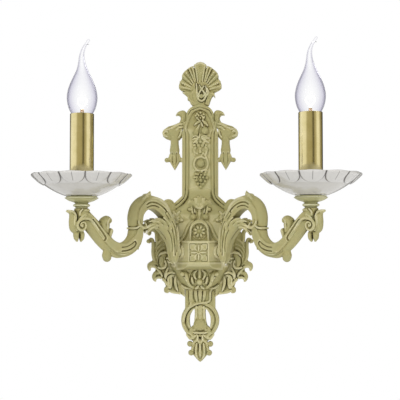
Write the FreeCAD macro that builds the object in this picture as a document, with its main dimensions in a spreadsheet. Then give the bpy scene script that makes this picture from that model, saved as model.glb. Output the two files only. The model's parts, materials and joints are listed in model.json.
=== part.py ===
import FreeCAD, Part

import math
import os

import Sketcher

# Double arm wall sconce, in millimetres.
# Origin: middle of the wall bar's two fixing slots, on the wall plane y = 0.
# +Z is up, the front faces -Y, and x = 0 is the plane of symmetry.

SIZES = {
    # wall bar
    "bar_height": 18.0,
    "bar_sheet": 2.0,
    "bar_tab_depth": 11.0,
    "bar_gap": 0.3,
    "slot_spacing": 46.0,
    "slot_length": 12.0,
    "slot_width": 5.0,
    "cable_hole_radius": 6.0,
    # side screws through the casting into the bar's tabs
    "side_screw_radius": 2.0,
    "side_screw_y": 6.2,
    "side_head_radius": 3.6,
    "side_head_height": 2.2,
    "screw_clearance": 0.3,
    # casting: column, shoulders, body and belly
    "wall": 3.0,
    "column_half": 22.1,
    "column_depth": 16.0,
    "column_foot_z": 48.4,
    "ear_z": 133.0,
    "arch_half": 14.2,
    "arch_spring_z": 147.5,
    "arch_step": 2.9,
    "arch_step_z": 140.5,
    "arch_top_z": 161.3,
    "shoulder_half": 40.0,
    "shoulder_z": 32.0,
    "body_depth": 24.0,
    "body_low_z": -40.0,
    "belly_half": 20.0,
    "belly_low_z": -66.0,
    "bulge_inset": 5.0,
    "frame_rail": 4.2,
    "panel_sink": 1.6,
    "rail_rise": 1.4,
    # crest shell
    "crest_foot_half": 9.0,
    "crest_half": 26.2,
    "crest_eye_z": 179.0,
    "crest_top_z": 214.9,
    "crest_depth": 9.0,
    "lobe_radius": 6.3,
    # side scroll and its hanging drop
    "scroll_depth": 8.0,
    "scroll_y": 4.0,
    "drop_x": 32.5,
    "scroll_eye_x": 41.5,
    "scroll_eye_z": 126.0,
    "scroll_radius": 6.2,
    "horn_top_z": 152.5,
    "drop_neck_z": 117.0,
    "drop_ring_z": 104.8,
    "drop_ring_radius": 6.5,
    "drop_back_gap": 0.7,
    "drop_ball_z": 92.7,
    "drop_ball_radius": 5.6,
    "drop_arm_half": 10.1,
    "drop_arm_radius": 3.4,
    "drop_tip_z": 80.5,
    # leaf wing
    "wing_back": 10.5,
    "wing_depth": 9.0,
    "wing_half": 59.0,
    "wing_top_z": 6.0,
    "wing_drop": 71.0,
    "curl_small": 4.2,
    "curl_big": 6.6,
    "curl_rise": 2.0,
    # pendant
    "pendant_back": 3.0,
    "pendant_depth": 10.0,
    "tab_half": 19.0,
    "tab_low_z": -90.0,
    "ring_z": -104.0,
    "ring_radius": 23.6,
    "slit_half": 9.7,
    "slit_width": 4.6,
    "slit_height": 19.0,
    "pendant_tip_z": -155.1,
    "fleur_half": 14.0,
    # arm housing and niche
    "housing_front": 46.0,
    "housing_front_half": 12.0,
    "housing_top_z": -7.7,
    "housing_low_z": -33.5,
    "corbel_low_z": -45.0,
    "corbel_half": 18.0,
    "niche_half": 11.6,
    "niche_rim": 3.6,
    "niche_top_z": 19.0,
    "niche_front": 33.0,
    "tile_half": 10.6,
    "tile_sink": 1.2,
    # arm plane, seen from above
    "arm_root_x": 18.3,
    "arm_root_y": 29.0,
    "arm_angle": 35.3,
    "candle_x": 130.0,
    # arm route, measured along the arm from its root and up
    "root_z": -20.0,
    "rise_out": 17.4,
    "arch_out": 46.0,
    "arch_z": 42.5,
    "fall_out": 66.5,
    "dip_out": 88.0,
    "dip_z": -22.5,
    "arm_half": 7.2,
    "arm_swell": 1.2,
    "arm_cheek": 6.6,
    # arm tube and nut
    "tube_radius": 5.0,
    "tube_bore": 3.9,
    "tube_fit": 0.1,
    "tube_inside": 9.0,
    "nut_flats": 7.0,
    "nut_height": 4.0,
    "collar_radius": 8.4,
    "collar_length": 2.9,
    # lead
    "lead_radius": 2.3,
    # neck, cup and dish, heights on the candle's axis
    "neck_low_z": 29.5,
    "neck_radius": 6.4,
    "neck_bead_radius": 9.6,
    "neck_bead_z": 33.0,
    "cup_low_z": 36.0,
    "cup_low_radius": 8.2,
    "cup_radius": 19.0,
    "cup_wide_z": 41.0,
    "cup_top_z": 43.3,
    "cup_top_radius": 17.6,
    "gasket_height": 0.7,
    "gasket_radius": 12.0,
    "foot_radius": 19.5,
    "dish_radius": 57.5,
    "dish_rim_z": 69.0,
    "dish_wall": 4.0,
    "dish_sag": 4.5,
    # what holds the lampholder
    "lock_nut_height": 4.0,
    "bracket_sheet": 1.5,
    "bracket_width": 13.0,
    "bracket_reach": 10.2,
    "bracket_top_z": 90.0,
    "lead_hole_radius": 3.2,
    "holder_radius": 11.4,
    "holder_top_z": 127.5,
    "shell_bore": 7.05,
    "shell_sheet": 0.45,
    "shell_low_z": 106.5,
    "shell_top_z": 125.5,
    "contact_gap": 0.3,
    # candle sleeve
    "sleeve_radius": 13.75,
    "sleeve_wall": 0.9,
    "sleeve_top_z": 137.7,
    # bulb
    "bulb_contact_z": 104.7,
    "bulb_contact_radius": 2.4,
    "bulb_contact_height": 1.6,
    "insulator_height": 2.8,
    "cap_radius": 6.93,
    "cap_sheet": 0.35,
    "cap_top_z": 126.0,
    "glass_neck_radius": 6.3,
    "glass_neck_height": 5.0,
    "glass_mouth_radius": 11.6,
    "glass_radius": 17.5,
    "glass_wide_z": 158.5,
    "glass_waist_z": 192.0,
    "glass_waist_radius": 7.4,
    "glass_top_z": 224.0,
    "glass_bend": 5.5,
    "glass_wall": 0.8,
    "stem_radius": 3.2,
    "stem_top_z": 143.0,
    "filament_top_z": 154.0,
    "filament_spread": 5.0,
    "wire_radius": 0.35,
    # terminal block and its screws
    "block_half": 14.0,
    "block_height": 14.0,
    "block_depth": 11.0,
    "block_low_z": 9.5,
    "terminal_pitch": 9.0,
    "terminal_screw_radius": 1.6,
    "terminal_screw_length": 5.0,
    "housing_screw_radius": 1.7,
    "housing_screw_x": 12.0,
    "housing_screw_drop": 7.0,
    "housing_screw_bite": 3.6,
    "earth_screw_x": 11.7,
    "earth_screw_radius": 1.5,
    "earth_head_radius": 2.8,
    "earth_head_height": 2.0,
}

doc = FreeCAD.newDocument("double_arm_wall_sconce")
sheet = doc.addObject("Spreadsheet::Sheet", "sizes")
for row, (alias, number) in enumerate(SIZES.items(), start=1):
    sheet.set(f"A{row}", alias)
    sheet.set(f"B{row}", str(number))
    sheet.setAlias(f"B{row}", alias)
doc.recompute()


class Size:
    """A size with its number and the sheet formula that gives it."""

    def __init__(self, number, formula=None):
        self.number = float(number)
        self.formula = formula if formula is not None else repr(float(number))

    def __float__(self):
        return self.number

    def __add__(self, other):
        other = as_size(other)
        return Size(self.number + other.number, f"({self.formula} + {other.formula})")

    def __sub__(self, other):
        other = as_size(other)
        return Size(self.number - other.number, f"({self.formula} - {other.formula})")

    def __mul__(self, other):
        other = as_size(other)
        return Size(self.number * other.number, f"({self.formula} * {other.formula})")

    def __truediv__(self, other):
        other = as_size(other)
        return Size(self.number / other.number, f"({self.formula} / {other.formula})")

    def __neg__(self):
        return Size(-self.number, f"(-1 * {self.formula})")

    __radd__ = __add__
    __rmul__ = __mul__

    def __rsub__(self, other):
        return as_size(other) - self


def as_size(value):
    return value if isinstance(value, Size) else Size(value)


def tangent(angle):
    return Size(math.tan(math.radians(angle.number)), f"tan({angle.formula})")


def cosine(angle):
    return Size(math.cos(math.radians(angle.number)), f"cos({angle.formula})")


def sine(angle):
    return Size(math.sin(math.radians(angle.number)), f"sin({angle.formula})")


def square_root(size):
    return Size(math.sqrt(size.number), f"sqrt({size.formula})")


class Sheet:
    """Reads the sheet: s.wall is the wall thickness as a Size."""

    def __getattr__(self, alias):
        return Size(sheet.get(alias), f"sizes.{alias}")


s = Sheet()
V = FreeCAD.Vector
XY, XZ, YZ = "XY_Plane", "XZ_Plane", "YZ_Plane"
SIDES = (("left", -1), ("right", 1))
piece_names = []

# Places that several pieces share
candle_y = s.arm_root_y + (s.candle_x - s.arm_root_x) * tangent(s.arm_angle)
candle_out = (s.candle_x - s.arm_root_x) / cosine(s.arm_angle)
# where the arm's line meets the housing's slanted side, and where the arm starts beyond the collar
arm_face = (s.housing_front_half + (s.housing_front - s.arm_root_y) * tangent(s.arm_angle)
            - s.arm_root_x) * cosine(s.arm_angle)
arm_start = arm_face + s.collar_length
dish_foot_z = s.cup_top_z + s.gasket_height
dish_floor_z = dish_foot_z + s.dish_wall
bracket_z = dish_floor_z + s.lock_nut_height
tube_top_z = bracket_z + s.bracket_sheet
bore_radius = s.tube_radius + s.tube_fit
bulge_inner = s.body_depth - s.wall
column_inner = s.column_depth - s.panel_sink - s.wall
housing_screw_z = s.housing_low_z - s.housing_screw_drop
tab_outer = s.shoulder_half - s.wall - s.bar_gap
holder_low_z = s.bracket_top_z


def bind(thing, prop, size):
    """Gives one property of an object its formula from the sheet."""
    thing.setExpression(prop, as_size(size).formula)


def new_body(name, x=0, y=0, z=0):
    body = doc.addObject("PartDesign::Body", name)
    body.Label = name
    bind(body, "Placement.Base.x", x)
    bind(body, "Placement.Base.y", y)
    bind(body, "Placement.Base.z", z)
    piece_names.append(name)
    return body


def plane_of(body, role):
    return next(f for f in body.Origin.OriginFeatures if f.Role == role)


def new_sketch(body, role, name, offset=0):
    sketch = body.newObject("Sketcher::SketchObject", name)
    sketch.AttachmentSupport = [(plane_of(body, role), "")]
    sketch.MapMode = "FlatFace"
    bind(sketch, "AttachmentOffset.Base.z", offset)
    return sketch


def add_loop(sketch, corners):
    """Adds a closed outline. A corner is (x, y) or (x, y, sag), where sag bows the edge that follows it."""
    corners = [tuple(as_size(c) for c in corner) for corner in corners]
    first = sketch.GeometryCount
    total = len(corners)
    for i, corner in enumerate(corners):
        follow = corners[(i + 1) % total]
        start = V(float(corner[0]), float(corner[1]), 0)
        end = V(float(follow[0]), float(follow[1]), 0)
        if len(corner) == 2:
            sketch.addGeometry(Part.LineSegment(start, end), False)
            continue
        chord = end - start
        side = V(-chord.y, chord.x, 0).normalize()
        middle = (start + end) * 0.5 + side * float(corner[2])
        sketch.addGeometry(Part.Arc(start, middle, end), False)
    starts = [start_vertex(sketch, first + i) for i in range(total)]
    ends = [3 - v if len(c) == 2 else (1 if v == 2 else 2) for v, c in zip(starts, corners)]
    for i, corner in enumerate(corners):
        here, there = first + i, first + (i + 1) % total
        sketch.addConstraint(Sketcher.Constraint("Coincident", here, ends[i], there, starts[(i + 1) % total]))
        for kind, size in (("DistanceX", corner[0]), ("DistanceY", corner[1])):
            number = sketch.addConstraint(Sketcher.Constraint(kind, -1, 1, here, starts[i], float(size)))
            sketch.setExpression(f"Constraints[{number}]", size.formula)
        if len(corner) == 3:
            follow = corners[(i + 1) % total]
            run, rise, sag = follow[0] - corner[0], follow[1] - corner[1], corner[2]
            chord = square_root(run * run + rise * rise)
            offset = (sag / 2 - chord * chord / (8 * sag)) / chord
            steep = abs(float(rise)) >= abs(float(run))
            centre = (corner[0] + follow[0]) / 2 - rise * offset if steep else \
                (corner[1] + follow[1]) / 2 + run * offset
            kind = "DistanceX" if steep else "DistanceY"
            number = sketch.addConstraint(Sketcher.Constraint(kind, -1, 1, here, 3, float(centre)))
            sketch.setExpression(f"Constraints[{number}]", centre.formula)


def start_vertex(sketch, index):
    """Which end of an edge is its first: an arc bowed to the left is stored the other way round."""
    geometry = sketch.Geometry[index]
    if isinstance(geometry, Part.LineSegment):
        return 1
    return 1 if getattr(geometry, "Axis", V(0, 0, 1)).z > 0 else 2


def add_circle(sketch, x, y, radius):
    x, y, radius = as_size(x), as_size(y), as_size(radius)
    index = sketch.addGeometry(Part.Circle(V(float(x), float(y), 0), V(0, 0, 1), float(radius)), False)
    for kind, size in (("DistanceX", x), ("DistanceY", y)):
        number = sketch.addConstraint(Sketcher.Constraint(kind, -1, 1, index, 3, float(size)))
        sketch.setExpression(f"Constraints[{number}]", size.formula)
    number = sketch.addConstraint(Sketcher.Constraint("Radius", index, float(radius)))
    sketch.setExpression(f"Constraints[{number}]", radius.formula)


def pad(body, sketch, length, reverse=False):
    feature = body.newObject("PartDesign::Pad", f"{sketch.Name}_pad")
    feature.Profile = sketch
    feature.Reversed = reverse
    bind(feature, "Length", length)
    sketch.Visibility = False
    doc.recompute()
    return feature


def pocket(body, sketch, length, reverse=False):
    before = body.Shape.Volume
    feature = body.newObject("PartDesign::Pocket", f"{sketch.Name}_cut")
    feature.Profile = sketch
    feature.Reversed = reverse
    bind(feature, "Length", length)
    doc.recompute()
    if feature.Shape.Volume >= before:
        raise RuntimeError(f"{feature.Name} cuts nothing")
    return feature


def revolve(body, sketch):
    """Turns a profile about the body's own upright axis."""
    feature = body.newObject("PartDesign::Revolution", f"{sketch.Name}_turn")
    feature.Profile = sketch
    feature.ReferenceAxis = (sketch, ["V_Axis"])
    feature.Angle = 360
    doc.recompute()
    return feature


def turned(name, corners, x=0, y=0, z=0):
    """A turned piece: a profile of radius and height, spun about the upright axis at x, y."""
    body = new_body(name, x, y, z)
    sketch = new_sketch(body, XZ, f"{name}_profile")
    add_loop(sketch, corners)
    revolve(body, sketch)
    return body


def solid(name, shape):
    """A piece whose form is worked out by Part's own functions from the sheet."""
    feature = doc.addObject("Part::Feature", name)
    feature.Label = name
    feature.Shape = shape
    piece_names.append(name)
    return feature


def slab(body, name, corners, front, depth):
    """Pads an outline seen from the front, from its front plane back towards the wall."""
    sketch = new_sketch(body, XZ, name, front)
    add_loop(sketch, corners)
    return pad(body, sketch, depth, reverse=True)


def mirrored_outline(half):
    """Closes an outline given as its right half, from top to bottom, both ends on x = 0 or not."""
    other = []
    for corner in reversed(half):
        if abs(float(corner[0])) > 1e-9:
            other.append((-as_size(corner[0]), corner[1]))
    return list(half) + other


# Wall side

def make_wall_bar():
    body = new_body("wall_bar")
    plan = new_sketch(body, XY, "wall_bar_plan", -s.bar_height / 2)
    inner = tab_outer - s.bar_sheet
    add_loop(plan, [
        (-tab_outer, 0), (-tab_outer, -s.bar_tab_depth), (-inner, -s.bar_tab_depth), (-inner, -s.bar_sheet),
        (inner, -s.bar_sheet), (inner, -s.bar_tab_depth), (tab_outer, -s.bar_tab_depth), (tab_outer, 0)])
    pad(body, plan, s.bar_height)
    holes = new_sketch(body, XZ, "wall_bar_slots")
    half = s.slot_width / 2
    run = (s.slot_length - s.slot_width) / 2
    for side in (-1, 1):
        middle = side * s.slot_spacing / 2
        add_loop(holes, [(middle - run, -half), (middle + run, -half, -half),
                         (middle + run, half), (middle - run, half, -half)])
    add_circle(holes, 0, 0, s.cable_hole_radius)
    add_circle(holes, s.earth_screw_x, 0, s.earth_screw_radius + s.tube_fit / 2)
    pocket(body, holes, s.bar_sheet + 1, reverse=True)
    taps = new_sketch(body, YZ, "wall_bar_taps", -tab_outer - 1)
    add_circle(taps, -s.side_screw_y, 0, s.side_screw_radius + s.tube_fit / 2)
    pocket(body, taps, 2 * tab_outer + 2, reverse=True)


def make_fixing_screws():
    """Two pan-head screws through the casting's sides, in one node."""
    screws = []
    head_x = float(s.shoulder_half)
    length = float(s.wall + s.bar_gap + s.bar_sheet + 2)
    for side in (-1, 1):
        place = V(side * head_x, -float(s.side_screw_y), 0)
        head = Part.makeCylinder(float(s.side_head_radius), float(s.side_head_height), place, V(side, 0, 0))
        shank = Part.makeCylinder(float(s.side_screw_radius), length, place, V(-side, 0, 0))
        slot_width = float(s.side_head_radius) / 4
        slot = Part.makeBox(1.0, slot_width, 2 * float(s.side_head_radius) + 2)
        slot_x = head_x + float(s.side_head_height) - 1.0 if side > 0 else -head_x - float(s.side_head_height)
        slot.translate(V(slot_x, place.y - slot_width / 2, -float(s.side_head_radius) - 1))
        screws.append(head.fuse(shank).removeSplitter().cut(slot))
    solid("fixing_screws", Part.makeCompound(screws))


# Casting

def plate_half(inset, top, low):
    """Right half of the casting's outline, drawn in by inset."""
    return [
        (0, s.arch_top_z - inset), (s.arch_half - inset, s.arch_spring_z),
        (s.arch_half + s.arch_step - inset, s.arch_step_z), (s.arch_half + s.arch_step - inset, s.ear_z),
        (s.column_half - inset, s.ear_z - inset), (s.column_half - inset, s.column_foot_z),
        (s.shoulder_half - inset, s.shoulder_z - inset / 2), (s.shoulder_half - inset, s.body_low_z + inset / 2),
        (s.belly_half - inset, s.belly_low_z + inset), (0, s.belly_low_z + inset)][top:low]


def make_backplate():
    body = new_body("backplate")
    slab(body, "plate_outline", mirrored_outline(plate_half(0, 0, 10)), s.column_depth, s.column_depth)
    # raised rail round the column, with the panel sunk inside it
    rail_top = s.ear_z - s.arch_step
    rail_foot = s.column_foot_z + s.frame_rail
    rail_half = s.column_half - s.arch_step
    slab(body, "rail", [(-rail_half, rail_foot - s.frame_rail), (rail_half, rail_foot - s.frame_rail),
                        (rail_half, rail_top), (-rail_half, rail_top)],
         s.column_depth + s.rail_rise, s.rail_rise)
    panel = new_sketch(body, XZ, "panel", s.column_depth + s.rail_rise)
    panel_half = rail_half - s.frame_rail
    add_loop(panel, [(-panel_half, rail_foot), (panel_half, rail_foot),
                     (panel_half, rail_top - s.frame_rail), (-panel_half, rail_top - s.frame_rail)])
    pocket(body, panel, s.rail_rise + s.panel_sink, reverse=False)
    # body bulge between the shoulders and the belly
    inset = s.bulge_inset
    slab(body, "bulge", mirrored_outline([
        (0, s.column_foot_z + inset), (s.column_half / 2, s.column_foot_z),
        (s.shoulder_half - inset, s.shoulder_z - inset), (s.shoulder_half - inset, s.body_low_z),
        (s.belly_half - inset / 2, s.belly_low_z + inset), (0, s.belly_low_z + inset)]),
         s.body_depth, s.body_depth - s.column_depth + 1)
    # hollow back
    hollow = new_sketch(body, XZ, "hollow")
    inner = s.shoulder_half - s.wall
    add_loop(hollow, mirrored_outline([
        (0, s.ear_z - s.wall), (s.column_half - s.wall, s.ear_z - s.wall),
        (s.column_half - s.wall, s.column_foot_z - s.wall), (inner, s.shoulder_z - s.wall),
        (inner, s.body_low_z + s.wall), (s.belly_half - s.wall, s.belly_low_z + s.wall),
        (0, s.belly_low_z + s.wall)]))
    pocket(body, hollow, column_inner, reverse=True)
    deep = new_sketch(body, XZ, "deep_hollow")
    deep_half = s.shoulder_half - inset - s.wall
    add_loop(deep, [(-deep_half, s.body_low_z + s.wall), (deep_half, s.body_low_z + s.wall),
                    (deep_half, s.shoulder_z - inset - s.wall), (-deep_half, s.shoulder_z - inset - s.wall)])
    pocket(body, deep, bulge_inner, reverse=True)
    # window behind the arm housing, where nuts, tube ends and leads sit
    window = new_sketch(body, XY, "window", s.housing_low_z + s.wall)
    window_half = housing_back_half() - s.wall / cosine(s.arm_angle)
    back_half = window_half + (s.wall + 1) * tangent(s.arm_angle)
    add_loop(window, [(-back_half, 1 - bulge_inner), (back_half, 1 - bulge_inner), (window_half, -s.body_depth),
                      (window_half, -s.body_depth - 1), (-window_half, -s.body_depth - 1),
                      (-window_half, -s.body_depth)])
    pocket(body, window, s.housing_top_z - s.housing_low_z - 2 * s.wall, reverse=True)
    # side holes for the fixing screws, and holes for the housing screws
    sides = new_sketch(body, YZ, "side_holes", -s.shoulder_half - 1)
    add_circle(sides, -s.side_screw_y, 0, s.side_screw_radius + s.screw_clearance)
    pocket(body, sides, 2 * s.shoulder_half + 2, reverse=True)
    screws = new_sketch(body, XZ, "housing_screw_holes")
    for side in (-1, 1):
        add_circle(screws, side * s.housing_screw_x, housing_screw_z, s.housing_screw_radius + s.screw_clearance)
    pocket(body, screws, s.body_depth + 1, reverse=True)


def housing_back_half():
    return s.housing_front_half + (s.housing_front - s.body_depth) * tangent(s.arm_angle)


def make_crest_shell():
    body = new_body("crest_shell")
    front = s.column_depth - 2
    foot = s.arch_top_z
    slab(body, "crest_web", [
        (-s.crest_foot_half, foot), (s.crest_foot_half, foot), (s.crest_half * 0.62, s.crest_eye_z - 6),
        (s.crest_half * 0.78, s.crest_eye_z + 6), (s.crest_half * 0.5, s.crest_eye_z + 20),
        (0, s.crest_top_z - s.lobe_radius), (-s.crest_half * 0.5, s.crest_eye_z + 20),
        (-s.crest_half * 0.78, s.crest_eye_z + 6), (-s.crest_half * 0.62, s.crest_eye_z - 6)],
         front, s.crest_depth)
    reach_up = s.crest_top_z - s.crest_eye_z - s.lobe_radius
    reach_out = s.crest_half - s.lobe_radius
    for index, angle in enumerate((0, 31, 62, 93)):
        for side in ((1,) if angle == 0 else (-1, 1)):
            turn = math.radians(angle)
            ring = new_sketch(body, XZ, f"crest_lobe_{index}_{'r' if side > 0 else 'l'}", front + 1)
            add_circle(ring, side * reach_out * math.sin(turn), s.crest_eye_z + reach_up * math.cos(turn),
                       s.lobe_radius)
            pad(body, ring, s.crest_depth, reverse=True)


def make_side_scroll(side_name, side):
    """The scroll at the column's ear; the body stands on the axis of the turned drop that hangs from it."""
    axis_y = s.scroll_y + s.drop_ring_radius + s.drop_back_gap
    body = new_body(f"side_scroll_{side_name}", side * s.drop_x, -axis_y)
    neck = s.drop_ring_radius * 0.62
    ball, ring = s.drop_ball_radius, s.drop_ring_radius
    drop = new_sketch(body, XZ, f"drop_{side_name}")
    add_loop(drop, [(0, s.drop_neck_z + 2), (0, s.drop_tip_z), (1.2, s.drop_tip_z + 1),
                    (2.2, s.drop_ball_z - ball), (ball, s.drop_ball_z - 2.5), (ball, s.drop_ball_z + 2.7),
                    (neck, s.drop_ball_z + ball), (ring, s.drop_ring_z - 2), (ring, s.drop_ring_z + 2),
                    (neck, s.drop_ring_z + 5), (ring, s.drop_neck_z + 2)])
    revolve(body, drop)
    cross = new_sketch(body, YZ, f"drop_arm_{side_name}", -s.drop_arm_half)
    add_circle(cross, 0, s.drop_ball_z, s.drop_arm_radius)
    pad(body, cross, 2 * s.drop_arm_half)
    front = s.scroll_y + s.scroll_depth - axis_y
    root = s.column_half - s.drop_x
    eye_x = s.scroll_eye_x - s.drop_x
    slab(body, f"scroll_web_{side_name}", [
        (side * root, s.drop_neck_z), (side * root, s.ear_z - s.wall), (side * -6, s.horn_top_z),
        (0, s.horn_top_z - 4), (side * eye_x, s.scroll_eye_z + s.scroll_radius),
        (side * eye_x, s.scroll_eye_z - 4), (side * 4, s.drop_neck_z)], front, s.scroll_depth)
    eye = new_sketch(body, XZ, f"scroll_eye_{side_name}", front + 1)
    add_circle(eye, side * eye_x, s.scroll_eye_z, s.scroll_radius)
    pad(body, eye, s.scroll_depth, reverse=True)


def make_leaf_wing(side_name, side):
    body = new_body(f"leaf_wing_{side_name}")
    front = s.wing_back + s.wing_depth
    root = s.shoulder_half
    edge = s.wing_half

    def spot(inward, down):
        """A point of the wing: 0 to 1 from its edge to its root, and 0 to 1 from its top down to its last curl."""
        return side * (edge - inward * (edge - root)), s.wing_top_z - down * s.wing_drop

    curls = [(-0.18, 0.03, s.curl_small), (-0.21, 0.2, s.curl_small), (-0.03, 0.63, s.curl_big),
             (0.37, 0.82, s.curl_big), (1.0, 1.0, s.curl_small)]
    edge_line = [(0.32, -0.04), (-0.11, -0.01), (-0.05, 0.2), (0, 0.48), (0.11, 0.65), (0.47, 0.85), (1.05, 0.99)]
    slab(body, "wing_web", [spot(1, -0.03)] + [spot(*point) for point in edge_line] + [
        (side * (s.belly_half + 0.25 * (root - s.belly_half)), s.belly_low_z + 0.25 * (s.body_low_z - s.belly_low_z)),
        (side * root, s.body_low_z)], front, s.wing_depth)
    for index, (inward, down, radius) in enumerate(curls, start=1):
        curl = new_sketch(body, XZ, f"wing_curl_{index}", front + s.curl_rise)
        add_circle(curl, *spot(inward, down), radius)
        pad(body, curl, s.wing_depth, reverse=True)


def make_pendant():
    body = new_body("pendant")
    front = s.pendant_back + s.pendant_depth
    low = s.ring_z - s.ring_radius
    slab(body, "tab", [(-s.tab_half, s.belly_low_z), (s.tab_half, s.belly_low_z), (s.tab_half, s.tab_low_z),
                       (-s.tab_half, s.tab_low_z)], front, s.pendant_depth)
    ring = new_sketch(body, XZ, "ring", front)
    add_circle(ring, 0, s.ring_z, s.ring_radius)
    pad(body, ring, s.pendant_depth, reverse=True)
    slab(body, "fleur", mirrored_outline([
        (s.fleur_half * 0.45, low + 5), (s.fleur_half * 0.5, low - 3), (s.fleur_half, low - 7),
        (s.fleur_half, low - 13), (s.fleur_half * 0.5, low - 16), (3, s.pendant_tip_z + 4), (0, s.pendant_tip_z)]),
         front, s.pendant_depth)
    slits = new_sketch(body, XZ, "slits")
    for side in (-1, 1):
        near, far = s.slit_half - s.slit_width / 2, s.slit_half + s.slit_width / 2
        add_loop(slits, [(side * near, s.ring_z - s.slit_height / 2), (side * far, s.ring_z - s.slit_height / 2),
                         (side * far, s.ring_z + s.slit_height / 2), (side * near, s.ring_z + s.slit_height / 2)])
    pocket(body, slits, front + 1, reverse=True)


def make_arm_housing():
    body = new_body("arm_housing")
    plan = new_sketch(body, XY, "housing_plan", s.housing_low_z)
    back = housing_back_half()
    front = s.housing_front_half
    add_loop(plan, [(-back, -s.body_depth), (-front, -s.housing_front), (front, -s.housing_front),
                    (back, -s.body_depth)])
    pad(body, plan, s.housing_top_z - s.housing_low_z)
    corbel = new_sketch(body, YZ, "corbel", -s.corbel_half)
    add_loop(corbel, [(-s.body_depth, s.housing_low_z + 1), (-s.body_depth, s.corbel_low_z),
                      (-s.housing_front + 3, s.housing_low_z), (-s.housing_front + 3, s.housing_low_z + 1)])
    pad(body, corbel, 2 * s.corbel_half)
    outer = s.niche_half + s.niche_rim
    arch_z = s.niche_top_z - s.niche_half
    slab(body, "niche_block", [
        (-outer, s.housing_top_z - 1), (outer, s.housing_top_z - 1), (outer, arch_z, outer), (-outer, arch_z)],
         s.niche_front, s.niche_front - s.body_depth)
    niche = new_sketch(body, XZ, "niche", s.niche_front)
    inner = s.niche_half
    add_loop(niche, [(-inner, s.housing_top_z), (inner, s.housing_top_z), (inner, arch_z, inner), (-inner, arch_z)])
    pocket(body, niche, s.niche_front - s.body_depth - s.wall, reverse=False)
    tile = new_sketch(body, XZ, "tile", s.housing_front)
    middle = (s.housing_top_z + s.housing_low_z) / 2
    add_loop(tile, [(-s.tile_half, middle - s.tile_half), (s.tile_half, middle - s.tile_half),
                    (s.tile_half, middle + s.tile_half), (-s.tile_half, middle + s.tile_half)])
    pocket(body, tile, s.tile_sink, reverse=False)
    # inside, open to the back
    hollow = new_sketch(body, XY, "housing_hollow", s.housing_low_z + s.wall)
    slack = s.wall / cosine(s.arm_angle)
    deep = s.housing_front - s.wall
    add_loop(hollow, [
        (-(back - slack), -s.body_depth + 1), (-(back - slack), -s.body_depth),
        (-(front + s.wall * tangent(s.arm_angle) - slack), -deep),
        (front + s.wall * tangent(s.arm_angle) - slack, -deep),
        (back - slack, -s.body_depth), (back - slack, -s.body_depth + 1)])
    pocket(body, hollow, s.housing_top_z - s.housing_low_z - 2 * s.wall, reverse=True)
    # tapped holes for the screws from behind
    taps = new_sketch(body, XZ, "housing_taps")
    for side in (-1, 1):
        add_circle(taps, side * s.housing_screw_x, housing_screw_z, s.housing_screw_radius + s.tube_fit / 2)
    pocket(body, taps, s.body_depth + s.housing_screw_bite + s.screw_clearance, reverse=True)
    # the two holes for the arm tubes, square to the slanted sides
    for side_name, side in SIDES:
        hole = body.newObject("PartDesign::SubtractiveCylinder", f"tube_hole_{side_name}")
        bind(hole, "Radius", bore_radius)
        bind(hole, "Height", s.wall * 4)
        hole.AttachmentSupport = [(plane_of(body, XY), "")]
        hole.MapMode = "FlatFace"
        start = arm_face - s.wall * 2
        bind(hole, "AttachmentOffset.Base.x", side * (s.arm_root_x + start * cosine(s.arm_angle)))
        bind(hole, "AttachmentOffset.Base.y", -(s.arm_root_y + start * sine(s.arm_angle)))
        bind(hole, "AttachmentOffset.Base.z", s.root_z)
        turn = -float(s.arm_angle) if side > 0 else 180 + float(s.arm_angle)
        hole.AttachmentOffset = FreeCAD.Placement(hole.AttachmentOffset.Base,
                                                  FreeCAD.Rotation(V(0, 0, 1), turn)
                                                  * FreeCAD.Rotation(V(0, 1, 0), 90))
        doc.recompute()


def make_housing_screws():
    """Two screws through the plate from behind into the corbel under the housing, in one node."""
    screws = []
    radius = float(s.housing_screw_radius)
    for side in (-1, 1):
        place = V(side * float(s.housing_screw_x), -float(column_inner), float(housing_screw_z))
        head = Part.makeCylinder(radius * 1.8, radius * 1.2, place, V(0, 1, 0))
        shank = Part.makeCylinder(radius, float(s.body_depth - column_inner + s.housing_screw_bite), place,
                                  V(0, -1, 0))
        screws.append(head.fuse(shank).removeSplitter())
    solid("housing_screws", Part.makeCompound(screws))


# Arm plane

def arm_point(side, out, z, across=0.0):
    """A point of an arm: out along the arm from its root, up, and across its plane."""
    angle = math.radians(float(s.arm_angle))
    x = float(s.arm_root_x) + float(out) * math.cos(angle) + across * math.sin(angle)
    y = float(s.arm_root_y) + float(out) * math.sin(angle) - across * math.cos(angle)
    return V(side * x, -y, float(z))


def arm_direction(side, out, up):
    return arm_point(side, out, up) - arm_point(side, 0, 0)


def arm_route():
    """Corners of the tube's route in the arm's plane, from the housing to the lampholder."""
    out = float(candle_out)
    rise, fall, dip = float(s.rise_out), float(s.fall_out), float(s.dip_out)
    top, arch, low, root = float(s.arch_z), float(s.arch_out), float(s.dip_z), float(s.root_z)
    return [
        (float(arm_face - s.tube_inside), root), (rise - 7.0, root), (rise, root + 7.0), (rise + 1.0, root + 33.0),
        (arch - 15.0, top - 4.5), (arch + 5.0, top - 1.0), (fall - 2.0, top - 11.0), (fall + 1.0, low + 21.0),
        (dip - 11.0, low + 3.5), (dip + 5.5, low + 2.0), (dip + 28.0, low + 25.0),
        (out - 6.0, float(s.neck_low_z) - 14.0), (out, float(s.neck_low_z) - 6.0), (out, float(tube_top_z))]


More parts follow.
